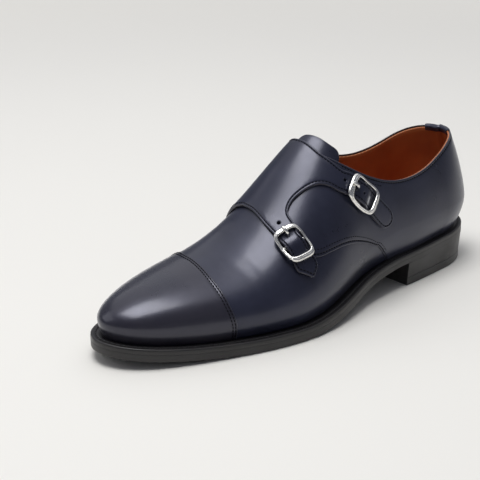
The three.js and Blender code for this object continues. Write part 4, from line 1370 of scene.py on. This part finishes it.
# Buckle, place down and across its strap, and radius.
STRAP_HOLES = ((1, -16.6, 0.8, 0.95), (0, -14.6, 0.4, 0.95), (0, -0.6, 0.0, 0.9),
               (0, -6.4, 0.0, 1.15), (1, -6.4, 0.0, 1.15))


def strap_holes():
    """Round holes in the straps: two that carry the prongs, the others spare."""
    turn = np.linspace(0, 2 * math.pi, 17)[:-1]
    return [BUCKLES[k].pattern(np.stack([a + radius * np.cos(turn), b + radius * np.sin(turn)], 1))
            for k, a, b, radius in STRAP_HOLES]


FLAP_LOW = 0.15
FLAP_HIGH = 2.05
LIFT_FROM = -0.52              # share across, on the medial side, where the flap starts to lift
LIFT_ACROSS = 0.38
LIFT_FROM_T = 0.36
LIFT_T = 0.1


def flap_lift(flat):
    """0 where the sheet is the medial quarter, 1 where it is the free flap."""
    t, side, v = unpattern(flat)
    ahead = ease((t - LIFT_FROM_T) / LIFT_T)
    return ease((side * (1 - v) - LIFT_FROM) / LIFT_ACROSS) * np.where(side > 0, 1, ahead)


def flap_top(flat):
    t, side, v = unpattern(flat)
    return FLAP_HIGH * flap_lift(flat) + strap_hump(t, side, v)


def flap_bottom(flat):
    t, side, v = unpattern(flat)
    return -QUARTER_THICK + (FLAP_LOW + QUARTER_THICK) * flap_lift(flat) + strap_hump(t, side, v)


class SHOE_OT_quarters(bpy.types.Operator):
    """Lateral quarter, and the medial quarter with its flap and two straps"""

    bl_idname = "shoe.quarters"
    bl_label = "Quarters and flap"

    def execute(self, context):
        spacing = sizes().sheet_spacing / MM
        flat_top = lambda flat: np.zeros(len(flat))
        flat_low = lambda flat: np.full(len(flat), -QUARTER_THICK)
        quarter = sheet_piece("lateral_quarter", lateral_quarter_outline(), flat_top, flat_low,
                              spacing, 0.45)
        finish_piece(quarter, material_for("navy_calf"), "upper_leather")
        flap = sheet_piece("medial_quarter_flap", medial_flap_outline(), flap_top, flap_bottom,
                           spacing, 0.6, strap_holes())
        finish_piece(flap, material_for("navy_calf"), "strap_leather", "strap_flap")
        return {"FINISHED"}


# The vamp's creases: middle and slant in t, half width in t, depth in millimetres.
CREASES = ((0.603, 0.006, 0.0045, 0.16), (0.622, -0.008, 0.0055, 0.2), (0.643, 0.005, 0.005, 0.14))
CREASE_MIDDLE = 0.12
CREASE_REACH = 0.42
CREASE_WAVE_T = 0.004


def crease_depth(t, side, v):
    """Soft creases across the vamp where the foot bends."""
    depth = np.zeros(np.broadcast(t, v).shape)
    share = side * (1 - v)
    for centre, slant, wide, deep in CREASES:
        line = centre + slant * share + CREASE_WAVE_T * np.sin(7 * share + centre * 40)
        fade = np.exp(-((share - CREASE_MIDDLE) / CREASE_REACH) ** 4)
        depth += deep * fade * np.exp(-((t - line) / wide) ** 2)
    return depth


def vamp_piece():
    """A creased shell round the front of the form, open to the heel and at the throat."""
    steps, rows = 96, 26
    half = np.linspace(VAMP_BACK_T, 1, steps + 1)
    t = np.concatenate([half, half[-2::-1]])
    side = np.concatenate([np.ones(steps + 1), -np.ones(steps)])
    behind_throat = np.where(t < THROAT_BACK_T, collar_v(t, side) - 0.03, 1)
    limit = np.minimum(opening_v(t, side), behind_throat)
    profile = []
    for outside, order in ((True, np.linspace(0, 1, rows)), (False, np.linspace(1, 0, rows))):
        for w in order:
            v = w * limit
            off = VAMP_OUT - crease_depth(t, side, v) if outside else np.full_like(t, VAMP_IN)
            points = off_form(t, side, v, off)
            points[..., 2] -= FOOT_TUCK if w == 0 else 0
            profile.append(points)
    whole = limit > WHOLE_RIB
    skip = lambda k, i: k == rows - 1 and whole[i] and whole[min(i + 1, len(whole) - 1)]
    obj = band_mesh("vamp", profile, closed_columns=False, skip=skip)
    smooth(obj, SMOOTH_LEATHER)
    return obj


class SHOE_OT_vamp(bpy.types.Operator):
    """Vamp under the quarters, and the toe cap over it"""

    bl_idname = "shoe.vamp"
    bl_label = "Vamp and toe cap"

    def execute(self, context):
        finish_piece(vamp_piece(), material_for("navy_calf"), "upper_leather", "upper")
        finish_piece(cap_piece(), material_for("cap_calf"), "upper_leather")
        return {"FINISHED"}


# The cap's edge as (v, t), on the lateral and on the medial side.
CAP_EDGE = {
    1.0: natural_spline((0.0, 0.21, 0.44, 0.60, 0.76, 0.92, 1.0),
                        (0.687, 0.6885, 0.6938, 0.694, 0.693, 0.688, 0.685)),
    -1.0: natural_spline((0.0, 0.30, 0.55, 0.738, 0.875, 1.0), (0.655, 0.659, 0.664, 0.669, 0.679, 0.685)),
}
CAP_STEPS = 71
CAP_ROWS_UP = 40
CAP_IN = -0.76
# Rows of points near the cap's edge and its two seams, as shares of the way to the toe.
CAP_FINE = (0, 0.0022, 0.006, 0.0085, 0.0113, 0.0141, 0.017, 0.0205, 0.0233, 0.0261, 0.031)
# The edge's rounding: drop in millimetres by the same shares.
CAP_ROUND = ((0, 0.0022, 0.006, 0.012), (0.42, 0.14, 0.03, 0.0))


def cap_t(v, side):
    return np.where(side > 0, CAP_EDGE[1.0](v), CAP_EDGE[-1.0](v))


def cap_piece():
    """The toe cap: a shell whose back edge is turned and follows the cap seam."""
    rows = CAP_ROWS_UP
    run = np.concatenate([CAP_FINE, np.linspace(0.045, 1, CAP_STEPS)])
    share = np.concatenate([run, run[-2::-1]])
    side = np.concatenate([np.ones(len(run)), -np.ones(len(run) - 1)])
    edge_drop = np.interp(share, *CAP_ROUND)
    profile, from_edge = [], []
    for outside, order in ((True, np.linspace(0, 1, rows)), (False, np.linspace(1, 0, rows))):
        for v in order:
            start = cap_t(np.full_like(share, v), side)
            t = start + (1 - start) * share
            ahead = share * CAP_SHARE_MM
            pull = sum(seam_groove(ahead, row) for row in CAP_ROWS)
            off = -edge_drop - pull if outside else np.full_like(share, CAP_IN)
            points = off_form(t, side, np.full_like(share, v), off)
            points[..., 2] -= FOOT_TUCK if v == 0 else 0
            profile.append(points)
            from_edge.append(ahead if outside else np.zeros_like(ahead))
    obj = band_mesh("toe_cap", profile, closed_columns=False, skip=lambda k, i: k == rows - 1, away=from_edge)
    smooth(obj, SMOOTH_LEATHER)
    return obj


class SHOE_OT_lining(bpy.types.Operator):
    """Lining with its raw top edge, the heel's back strip, and the insole sock"""

    bl_idname = "shoe.lining"
    bl_label = "Lining"

    def execute(self, context):
        t, side = ring_places(steps=200)
        top = opening_v(t, side)
        whole = top > WHOLE_RIB
        limit = np.where(whole, top, top - np.where(side > 0, *LINING_DROP))
        rows = LINING_ROWS
        share = np.linspace(0.0, 1, rows)
        profile = [off_form(t, side, w * limit, np.full_like(t, LINING_IN)) for w in share]
        for rise, at_whole, off in LINING_RIM:
            v = limit + np.where(whole, 0, rise)
            profile.append(off_form(t, side, v, np.where(whole, at_whole, off)))
        for w in share[::-1]:
            low = w * (limit - 0.03 * ~whole)
            profile.append(off_form(t, side, low, np.full_like(t, LINING_OUT)))
        skip = lambda k, i: rows - 1 <= k <= rows + 3 and whole[i] and whole[(i + 1) % len(whole)]
        obj = band_mesh("lining", profile, skip=skip)
        places = np.empty(len(obj.data.vertices) * 3)
        obj.data.vertices.foreach_get("co", places)
        rim = np.concatenate([row[~whole] for row in profile[rows:rows + 3]])
        store_edge(obj, distance_to_points(places.reshape(-1, 3), rim[::2]) / MM)
        smooth(obj, SMOOTH_LEATHER)
        finish_piece(obj, material_for("cognac_lining"), "lining_leather")
        sock_piece()
        back_strip()
        return {"FINISHED"}


def distance_to_points(places, others, block=400):
    """Distance from each place to the nearest of the others, worked out block by block."""
    return np.concatenate([
        np.linalg.norm(places[start:start + block, None, :] - others[None], axis=2).min(1)
        for start in range(0, len(places), block)])


SOCK_V = 0.03
# Inset from the form, and height over the outsole.
SOCK_PROFILE = ((-2.6, 0.0), (-2.6, 2.3), (-2.9, 2.8), (-3.6, 3.0), (-8.0, 2.85))


def sock_piece():
    """The insole under its leather sock."""
    t, side = ring_places()

    def row(inset, lift):
        points = form_points(t, side, SOCK_V) + form_normals(t, side, SOCK_V) * inset
        points[..., 2] = feather_height(points[..., 1]) + LAYER_GAP + lift
        return to_row(points)

    obj = close_with_rungs("sock", [row(*place) for place in SOCK_PROFILE])
    smooth(obj, SMOOTH_LEATHER)
    finish_piece(obj, material_for("sock_leather"), "lining_leather", "insole")


STRIP_COLUMNS = 40
STRIP_HALF = 6.4
STRIP_FLARE = 9.5              # how much wider each side is at the collar
STRIP_HALF_THICK = 0.3
STRIP_OFF = 0.32
STRIP_INSIDE = -2.62
# The fold over the collar: distance off the form, and lift.
STRIP_FOLD = ((0.1, 0.4), (-0.5, 0.8), (-1.2, 0.9), (-1.9, 0.8), (-2.4, 0.35))


def back_strip():
    """The strip over the heel seam, folded over the collar to the inside."""
    w = np.linspace(-1, 1, STRIP_COLUMNS + 1)
    side = np.where(w >= 0, 1.0, -1.0)
    path = [(share, STRIP_OFF, 0.0) for share in np.linspace(0.012, 1, 22)]
    path += [(1.0, off, lift) for off, lift in STRIP_FOLD]
    path += [(1 - 0.011 * k, STRIP_INSIDE, 0.0) for k in range(4)]
    middles, normals = [], []
    for share, off, lift in path:
        wide = STRIP_HALF + STRIP_FLARE * ease((share - 0.84) / 0.13)
        t = np.interp(np.abs(w) * wide, RING_LENGTH, PATTERN_T)
        v = share * collar_v(t, side)
        normals.append(form_normals(t, side, v))
        middles.append(form_points(t, side, v) + normals[-1] * off + np.array([0, 0, lift]))
    middles = np.array(middles)
    run = np.gradient(middles, axis=0)
    across = np.gradient(middles, axis=1)
    out = np.cross(across, run)
    out /= np.linalg.norm(out, axis=2, keepdims=True)
    if np.mean(np.sum(out[2] * normals[2], axis=1)) < 0:
        out = -out
    half = STRIP_HALF_THICK * (1 - 0.75 * np.abs(w) ** 14)[None, :, None]
    rows = list(middles + out * half) + list((middles - out * STRIP_HALF_THICK)[::-1])
    obj = band_mesh("back_strip", to_row(np.array(rows)), closed_columns=False)
    smooth(obj, SMOOTH_LEATHER)
    finish_piece(obj, material_for("navy_calf"), "upper_leather")


TONGUE_RIB_MM = 480.0          # along the tongue for one unit of t
TONGUE_FRONT_S = 210.0
TONGUE_HALF = 0.3              # share of v that it reaches down on either side
TONGUE_LIFT = 1.5
TONGUE_COLUMNS = 55
TONGUE_ROWS = 34
# Rows of points near its back edge, as shares of its length.
TONGUE_FINE = (0, 0.004, 0.010, 0.0145, 0.019, 0.03)
# The tongue's back edge: s by its place across, from -1 medial to 1 lateral.
tongue_back = natural_spline((-1.0, -0.7, -0.35, 0.0, 0.35, 0.7, 0.92, 1.0),
                             (152.0, 143.5, 137.0, 134.0, 131.5, 127.5, 126.0, 128.5))


class SHOE_OT_tongue(bpy.types.Operator):
    """Tongue with a lining layer and a rounded top edge"""

    bl_idname = "shoe.tongue"
    bl_label = "Tongue"

    def execute(self, context):
        self.layer("tongue_leather", (-2.55, -3.55), 0.0, "navy_calf", "upper_leather", ("tongue",))
        self.layer("tongue_lining", (-3.65, -4.2), 1.2, "sock_leather", "lining_leather", ())
        return {"FINISHED"}

    def layer(self, name, offsets, trim, material, slot, nodes):
        front = float(t_at(TONGUE_FRONT_S))
        along = np.concatenate([TONGUE_FINE, np.linspace(0.05, 1, TONGUE_COLUMNS)])
        order = 2 * np.arange(TONGUE_ROWS + 1) / TONGUE_ROWS - 1
        profile, from_edge = [], []
        for outside in (True, False):
            for across in order if outside else order[::-1]:
                back = float(t_at(tongue_back(across) + trim))
                t = back + (front - back) * along
                v = np.full_like(t, 1 - abs(across) * TONGUE_HALF)
                lift = TONGUE_LIFT * (1 - across ** 2) * (1 - along) ** 2
                rounding = 0.35 * (along < 0.004) + 0.25 * (abs(across) > 0.99)
                off = offsets[0] + lift - rounding if outside else offsets[1] + lift
                profile.append(off_form(t, 1.0 if across >= 0 else -1.0, v, off + np.zeros_like(t)))
                from_edge.append(TONGUE_RIB_MM * (t - back) if outside else np.zeros_like(t))
        obj = band_mesh(name, profile, closed_columns=False, away=from_edge)
        smooth(obj, SMOOTH_LEATHER)
        finish_piece(obj, material_for(material), slot, *nodes)


# ---------------------------------------------------------------- buckles
def superellipse(turn, power):
    c, s = np.cos(turn), np.sin(turn)
    reach = (np.abs(c) ** power + np.abs(s) ** power) ** (-1 / power)
    return c * reach, s * reach


FRAME_STEPS = 112
END_BAR_FROM = 0.72            # share of the half length from which the frame's bars widen
ROUND_CORNERS = 14
PRONG_POWER = 2.6              # the prong's section is a slightly squared oval
PRONG_WIDER = 1.15

# The bars' section as (outwards, up): a rounded inner lip, a fine valley, an outer bevel.
FRAME_SECTION = ((-0.75, -1.0), (-0.97, -0.8), (-1.0, -0.3), (-0.98, 0.3), (-0.86, 0.7), (-0.62, 0.95),
                 (-0.36, 1.0), (-0.12, 0.92), (0.0, 0.76), (0.1, 0.68), (0.2, 0.72), (0.34, 0.72),
                 (0.6, 0.5), (0.86, 0.16), (1.0, -0.2), (1.0, -0.6), (0.93, -0.9), (0.7, -1.0))


def buckle_frame_piece(buckle):
    """A cushion-shaped hoop with flattened, grooved bars, and the centre bar."""
    turn = 2 * math.pi * np.arange(FRAME_STEPS) / FRAME_STEPS
    ca, sb = superellipse(turn, FRAME_CORNER)
    a, b = FRAME_HALF_A * ca, FRAME_HALF_B * sb
    middle_h = SIDE_BAR_H + (BAR_END_H - SIDE_BAR_H) * np.abs(a / FRAME_HALF_A) ** BAR_RISE
    half_wide = SIDE_BAR_HALF + END_BAR_WIDER * ease((np.abs(ca) - END_BAR_FROM) / (1 - END_BAR_FROM))
    run_a, run_b = np.gradient(np.r_[a, a[:1]])[:-1], np.gradient(np.r_[b, b[:1]])[:-1]
    run_a[0], run_b[0] = a[1] - a[-1], b[1] - b[-1]
    length = np.hypot(run_a, run_b)
    out_a, out_b = run_b / length, -run_a / length
    flip = np.sign(out_a * a + out_b * b)
    out_a, out_b = out_a * flip, out_b * flip
    rows = [buckle.points(a + out_a * wide * half_wide, b + out_b * wide * half_wide,
                          middle_h + BAR_HALF_HIGH * high) for wide, high in FRAME_SECTION]
    hoop = band_mesh("buckle_frame_" + buckle.name + "_visual", rows)
    b = np.linspace(-FRAME_HALF_B, FRAME_HALF_B, 25)
    rows = [buckle.points(np.full_like(b, BAR_MIDDLE_RADIUS * math.cos(angle)), b,
                          np.full_like(b, BAR_MIDDLE_H + BAR_MIDDLE_RADIUS * math.sin(angle)))
            for angle in 2 * math.pi * np.arange(ROUND_CORNERS) / ROUND_CORNERS]
    bar = band_mesh("bar", rows, closed_columns=False)
    select_only(hoop)
    bar.select_set(True)
    bpy.ops.object.join()
    smooth(hoop, SMOOTH_METAL)
    return hoop


# The prong's line as (a, h, radius).
PRONG_PATH = ((-1.95, 1.3, 0.62), (-4.6, 1.3, 0.62), (-5.6, 2.3, 0.72), (-6.4, 4.5, 0.8), (-7.7, 6.15, 0.85),
              (-9.2, 6.6, 0.85), (-10.6, 6.5, 0.8), (-11.4, 6.2, 0.5))


def prong_piece(buckle):
    """The prong: beside the centre bar, up through its hole and over the near bar."""
    path = np.array(PRONG_PATH)
    knots = lengths_along(path[:, :2])
    fine = np.linspace(0, knots[-1], 44)
    a, h, radius = (natural_spline(knots, path[:, i])(fine) for i in range(3))
    run_a, run_h = np.gradient(a), np.gradient(h)
    length = np.hypot(run_a, run_h)
    rows = []
    for angle in 2 * math.pi * np.arange(ROUND_CORNERS) / ROUND_CORNERS:
        wide, high = superellipse(angle, PRONG_POWER)
        lift, aside = radius * high, radius * PRONG_WIDER * wide
        rows.append(buckle.points(a - run_h / length * lift, aside, h + run_a / length * lift))
    obj = band_mesh("buckle_prong_" + buckle.name + "_visual", rows, closed_columns=False)
    smooth(obj, SMOOTH_METAL)
    return obj


class SHOE_OT_buckles(bpy.types.Operator):
    """Two plated buckles with their prongs"""

    bl_idname = "shoe.buckles"
    bl_label = "Buckles"

    def execute(self, context):
        for buckle in BUCKLES:
            hoop = buckle_frame_piece(buckle)
            finish_piece(hoop, material_for("nickel"), "buckle_metal", "buckle_frame_" + buckle.name)
            prong = prong_piece(buckle)
            finish_piece(prong, material_for("nickel"), "buckle_metal", "buckle_prong_" + buckle.name)
        return {"FINISHED"}


# ---------------------------------------------------------------- seams
THREAD_SINK = 0.02
FLAP_SEAM_END = -0.62          # share across, on the medial side, where the flap's seam ends
FLAP_SEAM_BACK_T = 0.44
LONGEST_GAP = 3.5              # a run of stitches ends where its line jumps further than this
FEWEST_POINTS = 3


def outline_seam(outline, amount, keep):
    """The part of an outline's inset line whose points pass a test, as runs."""
    moved = inset_line(outline, amount)
    flags = keep(moved)
    gaps = np.linalg.norm(np.roll(moved, -1, axis=0) - moved, axis=1)
    runs, current = [], []
    for point, flag, gap in zip(moved, flags, gaps):
        if flag:
            current.append(point)
        if (not flag or gap > LONGEST_GAP) and current:
            runs.append(np.array(current))
            current = []
    if current:
        runs.append(np.array(current))
    return [run for run in runs if len(run) > FEWEST_POINTS]


class SHOE_OT_seams(bpy.types.Operator):
    """Stitched seams of the upper"""

    bl_idname = "shoe.seams"
    bl_label = "Seams"

    def execute(self, context):
        inset = sizes().seam_inset / MM
        flap, quarter = medial_flap_outline(), lateral_quarter_outline()

        def on_flap(places):
            t, side, v = unpattern(places)
            return (side * (1 - v) > FLAP_SEAM_END) & ((t > FLAP_SEAM_BACK_T) | (side > 0))

        def low_medial(places):
            t, _, v = unpattern(places)
            return ~on_flap(places) & (v > 0.03) & (t > 0.02)

        def seam_side(places):
            t, _, v = unpattern(places)
            return (v > 0.02) & (t > 0.39) & (v < 0.6)

        def collar_side(places):
            t, _, v = unpattern(places)
            return (v > 0.3) & (t < 0.46) & (t > 0.05)

        def runs(outline, amounts, keep, height):
            return [seam_run(line, height) for amount in amounts
                    for line in outline_seam(outline, amount, keep)]

        flat = lambda line: np.full(len(line), -THREAD_SINK)
        above = lambda line: flap_top(line) - THREAD_SINK
        self.sew("flap_seams", runs(flap, (inset,), on_flap, lambda line: above(line) - THREAD_SINK),
                 "strap_leather")
        self.sew("medial_seams", runs(flap, (inset, inset + 2.1), low_medial, above), "upper_leather")
        self.sew("lateral_seams", runs(quarter, (inset, inset + 1.9), seam_side, flat)
                 + runs(quarter, (inset,), collar_side, flat), "upper_leather")
        self.sew("cap_seams", cap_seam_runs(), "upper_leather")
        return {"FINISHED"}

    def sew(self, name, runs, slot):
        given = sizes()
        obj = stitch_piece(name, runs, given.stitch_pitch / MM, given.stitch_length / MM,
                           given.stitch_radius / MM)
        finish_piece(obj, material_for("navy_thread"), slot)


def cap_seam_runs():
    """Two rows along the cap's edge."""
    runs = []
    for ahead in CAP_ROWS:
        points, normals = [], []
        for side, order in ((1.0, np.linspace(0.03, 0.999, 90)), (-1.0, np.linspace(0.999, 0.03, 90))):
            start = cap_t(order, side)
            t = start + (1 - start) * ahead / CAP_SHARE_MM
            sides = np.full_like(order, side)
            points.append(off_form(t, sides, order, np.full_like(order, -THREAD_SINK)))
            normals.append(form_normals(t, sides, order) * FLIP)
        runs.append((np.concatenate(points), np.concatenate(normals)))
    return runs


# ---------------------------------------------------------------- stage
FLOOR_RADIUS = 1.7
FLOOR_DROP = 0.0002
FADE_START = 0.35
FADE_END = 0.97
WALL_COLOUR = (0.855, 0.838, 0.791, 1)
AMBIENT_COLOUR = (0.85, 0.88, 1.0, 1)
AMBIENT_STRENGTH = 0.22
CAMERA_AZIMUTH = 46.8          # degrees from the toe's direction toward the lateral side
CAMERA_ELEVATION = 21.1
CAMERA_ROLL = 0.5
CAMERA_DISTANCE = 0.963
CAMERA_TARGET_HEIGHT = 0.045
CAMERA_LENS = 109.6
AIM_LEFT = 0.0352
AIM_DOWN = 0.0029
LIGHTS_AIM = (0, 0, 0.04)
# Soft lights: name, place and size in metres, power in watts.
LIGHTS = (
    ("overhead", (-0.04, -0.27, 1.5), (0.86, 0.72), 15.0),
    ("ceiling", (-0.9, 0.9, 2.5), (4.2, 4.2), 34.0),
    ("left_front", (-1.3, -1.3, 1.3), (1.5, 1.2), 6.0),
)


class SHOE_OT_stage(bpy.types.Operator):
    """Pale floor, soft lights, world and camera"""

    bl_idname = "shoe.stage"
    bl_label = "Stage"

    def execute(self, context):
        self.camera(context)
        self.floor()
        self.lights(context)
        return {"FINISHED"}

    def camera(self, context):
        azimuth, elevation, roll = (math.radians(angle)
                                    for angle in (CAMERA_AZIMUTH, CAMERA_ELEVATION, CAMERA_ROLL))
        target = Vector((ROW_SHIFT_X * MM, ROW_SHIFT_Y * MM, CAMERA_TARGET_HEIGHT))
        back = Vector((math.sin(azimuth) * math.cos(elevation), -math.cos(azimuth) * math.cos(elevation),
                       math.sin(elevation)))
        right = Vector((math.cos(azimuth), math.sin(azimuth), 0.0))
        up = back.cross(right)
        turned_right = right * math.cos(roll) + up * math.sin(roll)
        turned_up = back.cross(turned_right)
        data = bpy.data.cameras.new("camera")
        data.sensor_width = 36.0
        data.lens = CAMERA_LENS
        data.dof.use_dof = False
        obj = bpy.data.objects.new("camera", data)
        place = target + back * CAMERA_DISTANCE
        aim = target - turned_right * AIM_LEFT - turned_up * AIM_DOWN
        look = (place - aim).normalized()
        look_right = turned_up.cross(look).normalized()
        turn = Matrix((look_right, look.cross(look_right), look)).transposed().to_4x4()
        obj.matrix_world = Matrix.Translation(place) @ turn
        context.scene.collection.objects.link(obj)
        context.scene.camera = obj

    def floor(self):
        bpy.ops.object.select_all(action="DESELECT")
        bpy.ops.mesh.primitive_circle_add(vertices=96, radius=FLOOR_RADIUS, fill_type="NGON",
                                          location=(0, 0, -FLOOR_DROP))
        floor = bpy.context.object
        floor.name = "floor"
        material, wire, shader = shell_material("floor_paper",
                                                {"Roughness": 0.75, "Specular IOR Level": 0.25})
        place = wire.place()
        fibres = wire.noise(place, 700.0, 3.0)
        clouds = wire.noise(place, 2.0, 2.0)
        colour = wire.blend(wire.weighted(fibres, 0.3, clouds, 0.7), (0.81, 0.793, 0.75, 1),
                            (0.85, 0.833, 0.788, 1))
        away = wire.node("ShaderNodeVectorMath", {0: place}, operation="LENGTH").outputs["Value"]
        fade = wire.between(away, FLOOR_RADIUS * FADE_START, FLOOR_RADIUS * FADE_END, 1.0, 0.0,
                            interpolation_type="SMOOTHSTEP")
        wire.tree.links.new(fade, shader.inputs["Alpha"])
        wire.tree.links.new(colour, shader.inputs["Base Color"])
        join_relief(wire, shader, fibres, 0.05, 0.0001)
        floor.data.materials.append(material)

    def softbox(self, context, name, place, size, power):
        data = bpy.data.lights.new(name, "AREA")
        data.shape = "RECTANGLE"
        data.size, data.size_y = size
        data.energy = power
        obj = bpy.data.objects.new(name, data)
        obj.location = place
        heading = Vector(LIGHTS_AIM) - Vector(place)
        obj.rotation_euler = heading.to_track_quat("-Z", "Y").to_euler()
        obj.visible_camera = False
        context.scene.collection.objects.link(obj)

    def lights(self, context):
        for light in LIGHTS:
            self.softbox(context, *light)
        world = bpy.data.worlds.new("studio")
        world.use_nodes = True
        world.node_tree.nodes.clear()
        wire = Wiring(world.node_tree)
        seen = wire.node("ShaderNodeLightPath").outputs["Is Camera Ray"]
        dim, pale = (wire.node("ShaderNodeBackground", {"Color": colour, "Strength": strength}).outputs[0]
                     for colour, strength in ((AMBIENT_COLOUR, AMBIENT_STRENGTH), (WALL_COLOUR, 1.0)))
        both = wire.node("ShaderNodeMixShader", {0: seen, 1: dim, 2: pale}).outputs[0]
        wire.node("ShaderNodeOutputWorld", {"Surface": both})
        context.scene.world = world
        context.scene.view_settings.view_transform = "Standard"
        context.scene.view_settings.look = "None"
        context.scene.view_settings.exposure = 0.0


class SHOE_PT_panel(bpy.types.Panel):
    """Lists the shoe's operators, sizes and colours"""

    bl_idname = "SHOE_PT_panel"
    bl_label = "Double monk strap shoe"
    bl_space_type = "VIEW_3D"
    bl_region_type = "UI"
    bl_category = "Shoe"

    def draw(self, context):
        layout = self.layout
        for operator in OPERATORS:
            layout.operator(operator.bl_idname)
        for group in (context.scene.shoe_sizes, context.scene.shoe_finish):
            box = layout.box()
            for name in group.__annotations__:
                box.prop(group, name)


OPERATORS = (SHOE_OT_stage, SHOE_OT_outsole, SHOE_OT_welt, SHOE_OT_welt_stitches, SHOE_OT_heel, SHOE_OT_vamp,
             SHOE_OT_quarters, SHOE_OT_lining, SHOE_OT_tongue, SHOE_OT_buckles, SHOE_OT_seams)
CLASSES = (ShoeFinish, ShoeSizes, *OPERATORS, SHOE_PT_panel)


def register():
    for cls in CLASSES:
        bpy.utils.register_class(cls)
    bpy.types.Scene.shoe_finish = bpy.props.PointerProperty(type=ShoeFinish)
    bpy.types.Scene.shoe_sizes = bpy.props.PointerProperty(type=ShoeSizes)


def unregister():
    del bpy.types.Scene.shoe_sizes
    del bpy.types.Scene.shoe_finish
    for cls in reversed(CLASSES):
        bpy.utils.unregister_class(cls)


def main():
    register()
    for operator in OPERATORS:
        family, name = operator.bl_idname.split(".")
        getattr(getattr(bpy.ops, family), name)()


if __name__ == "__main__":
    main()
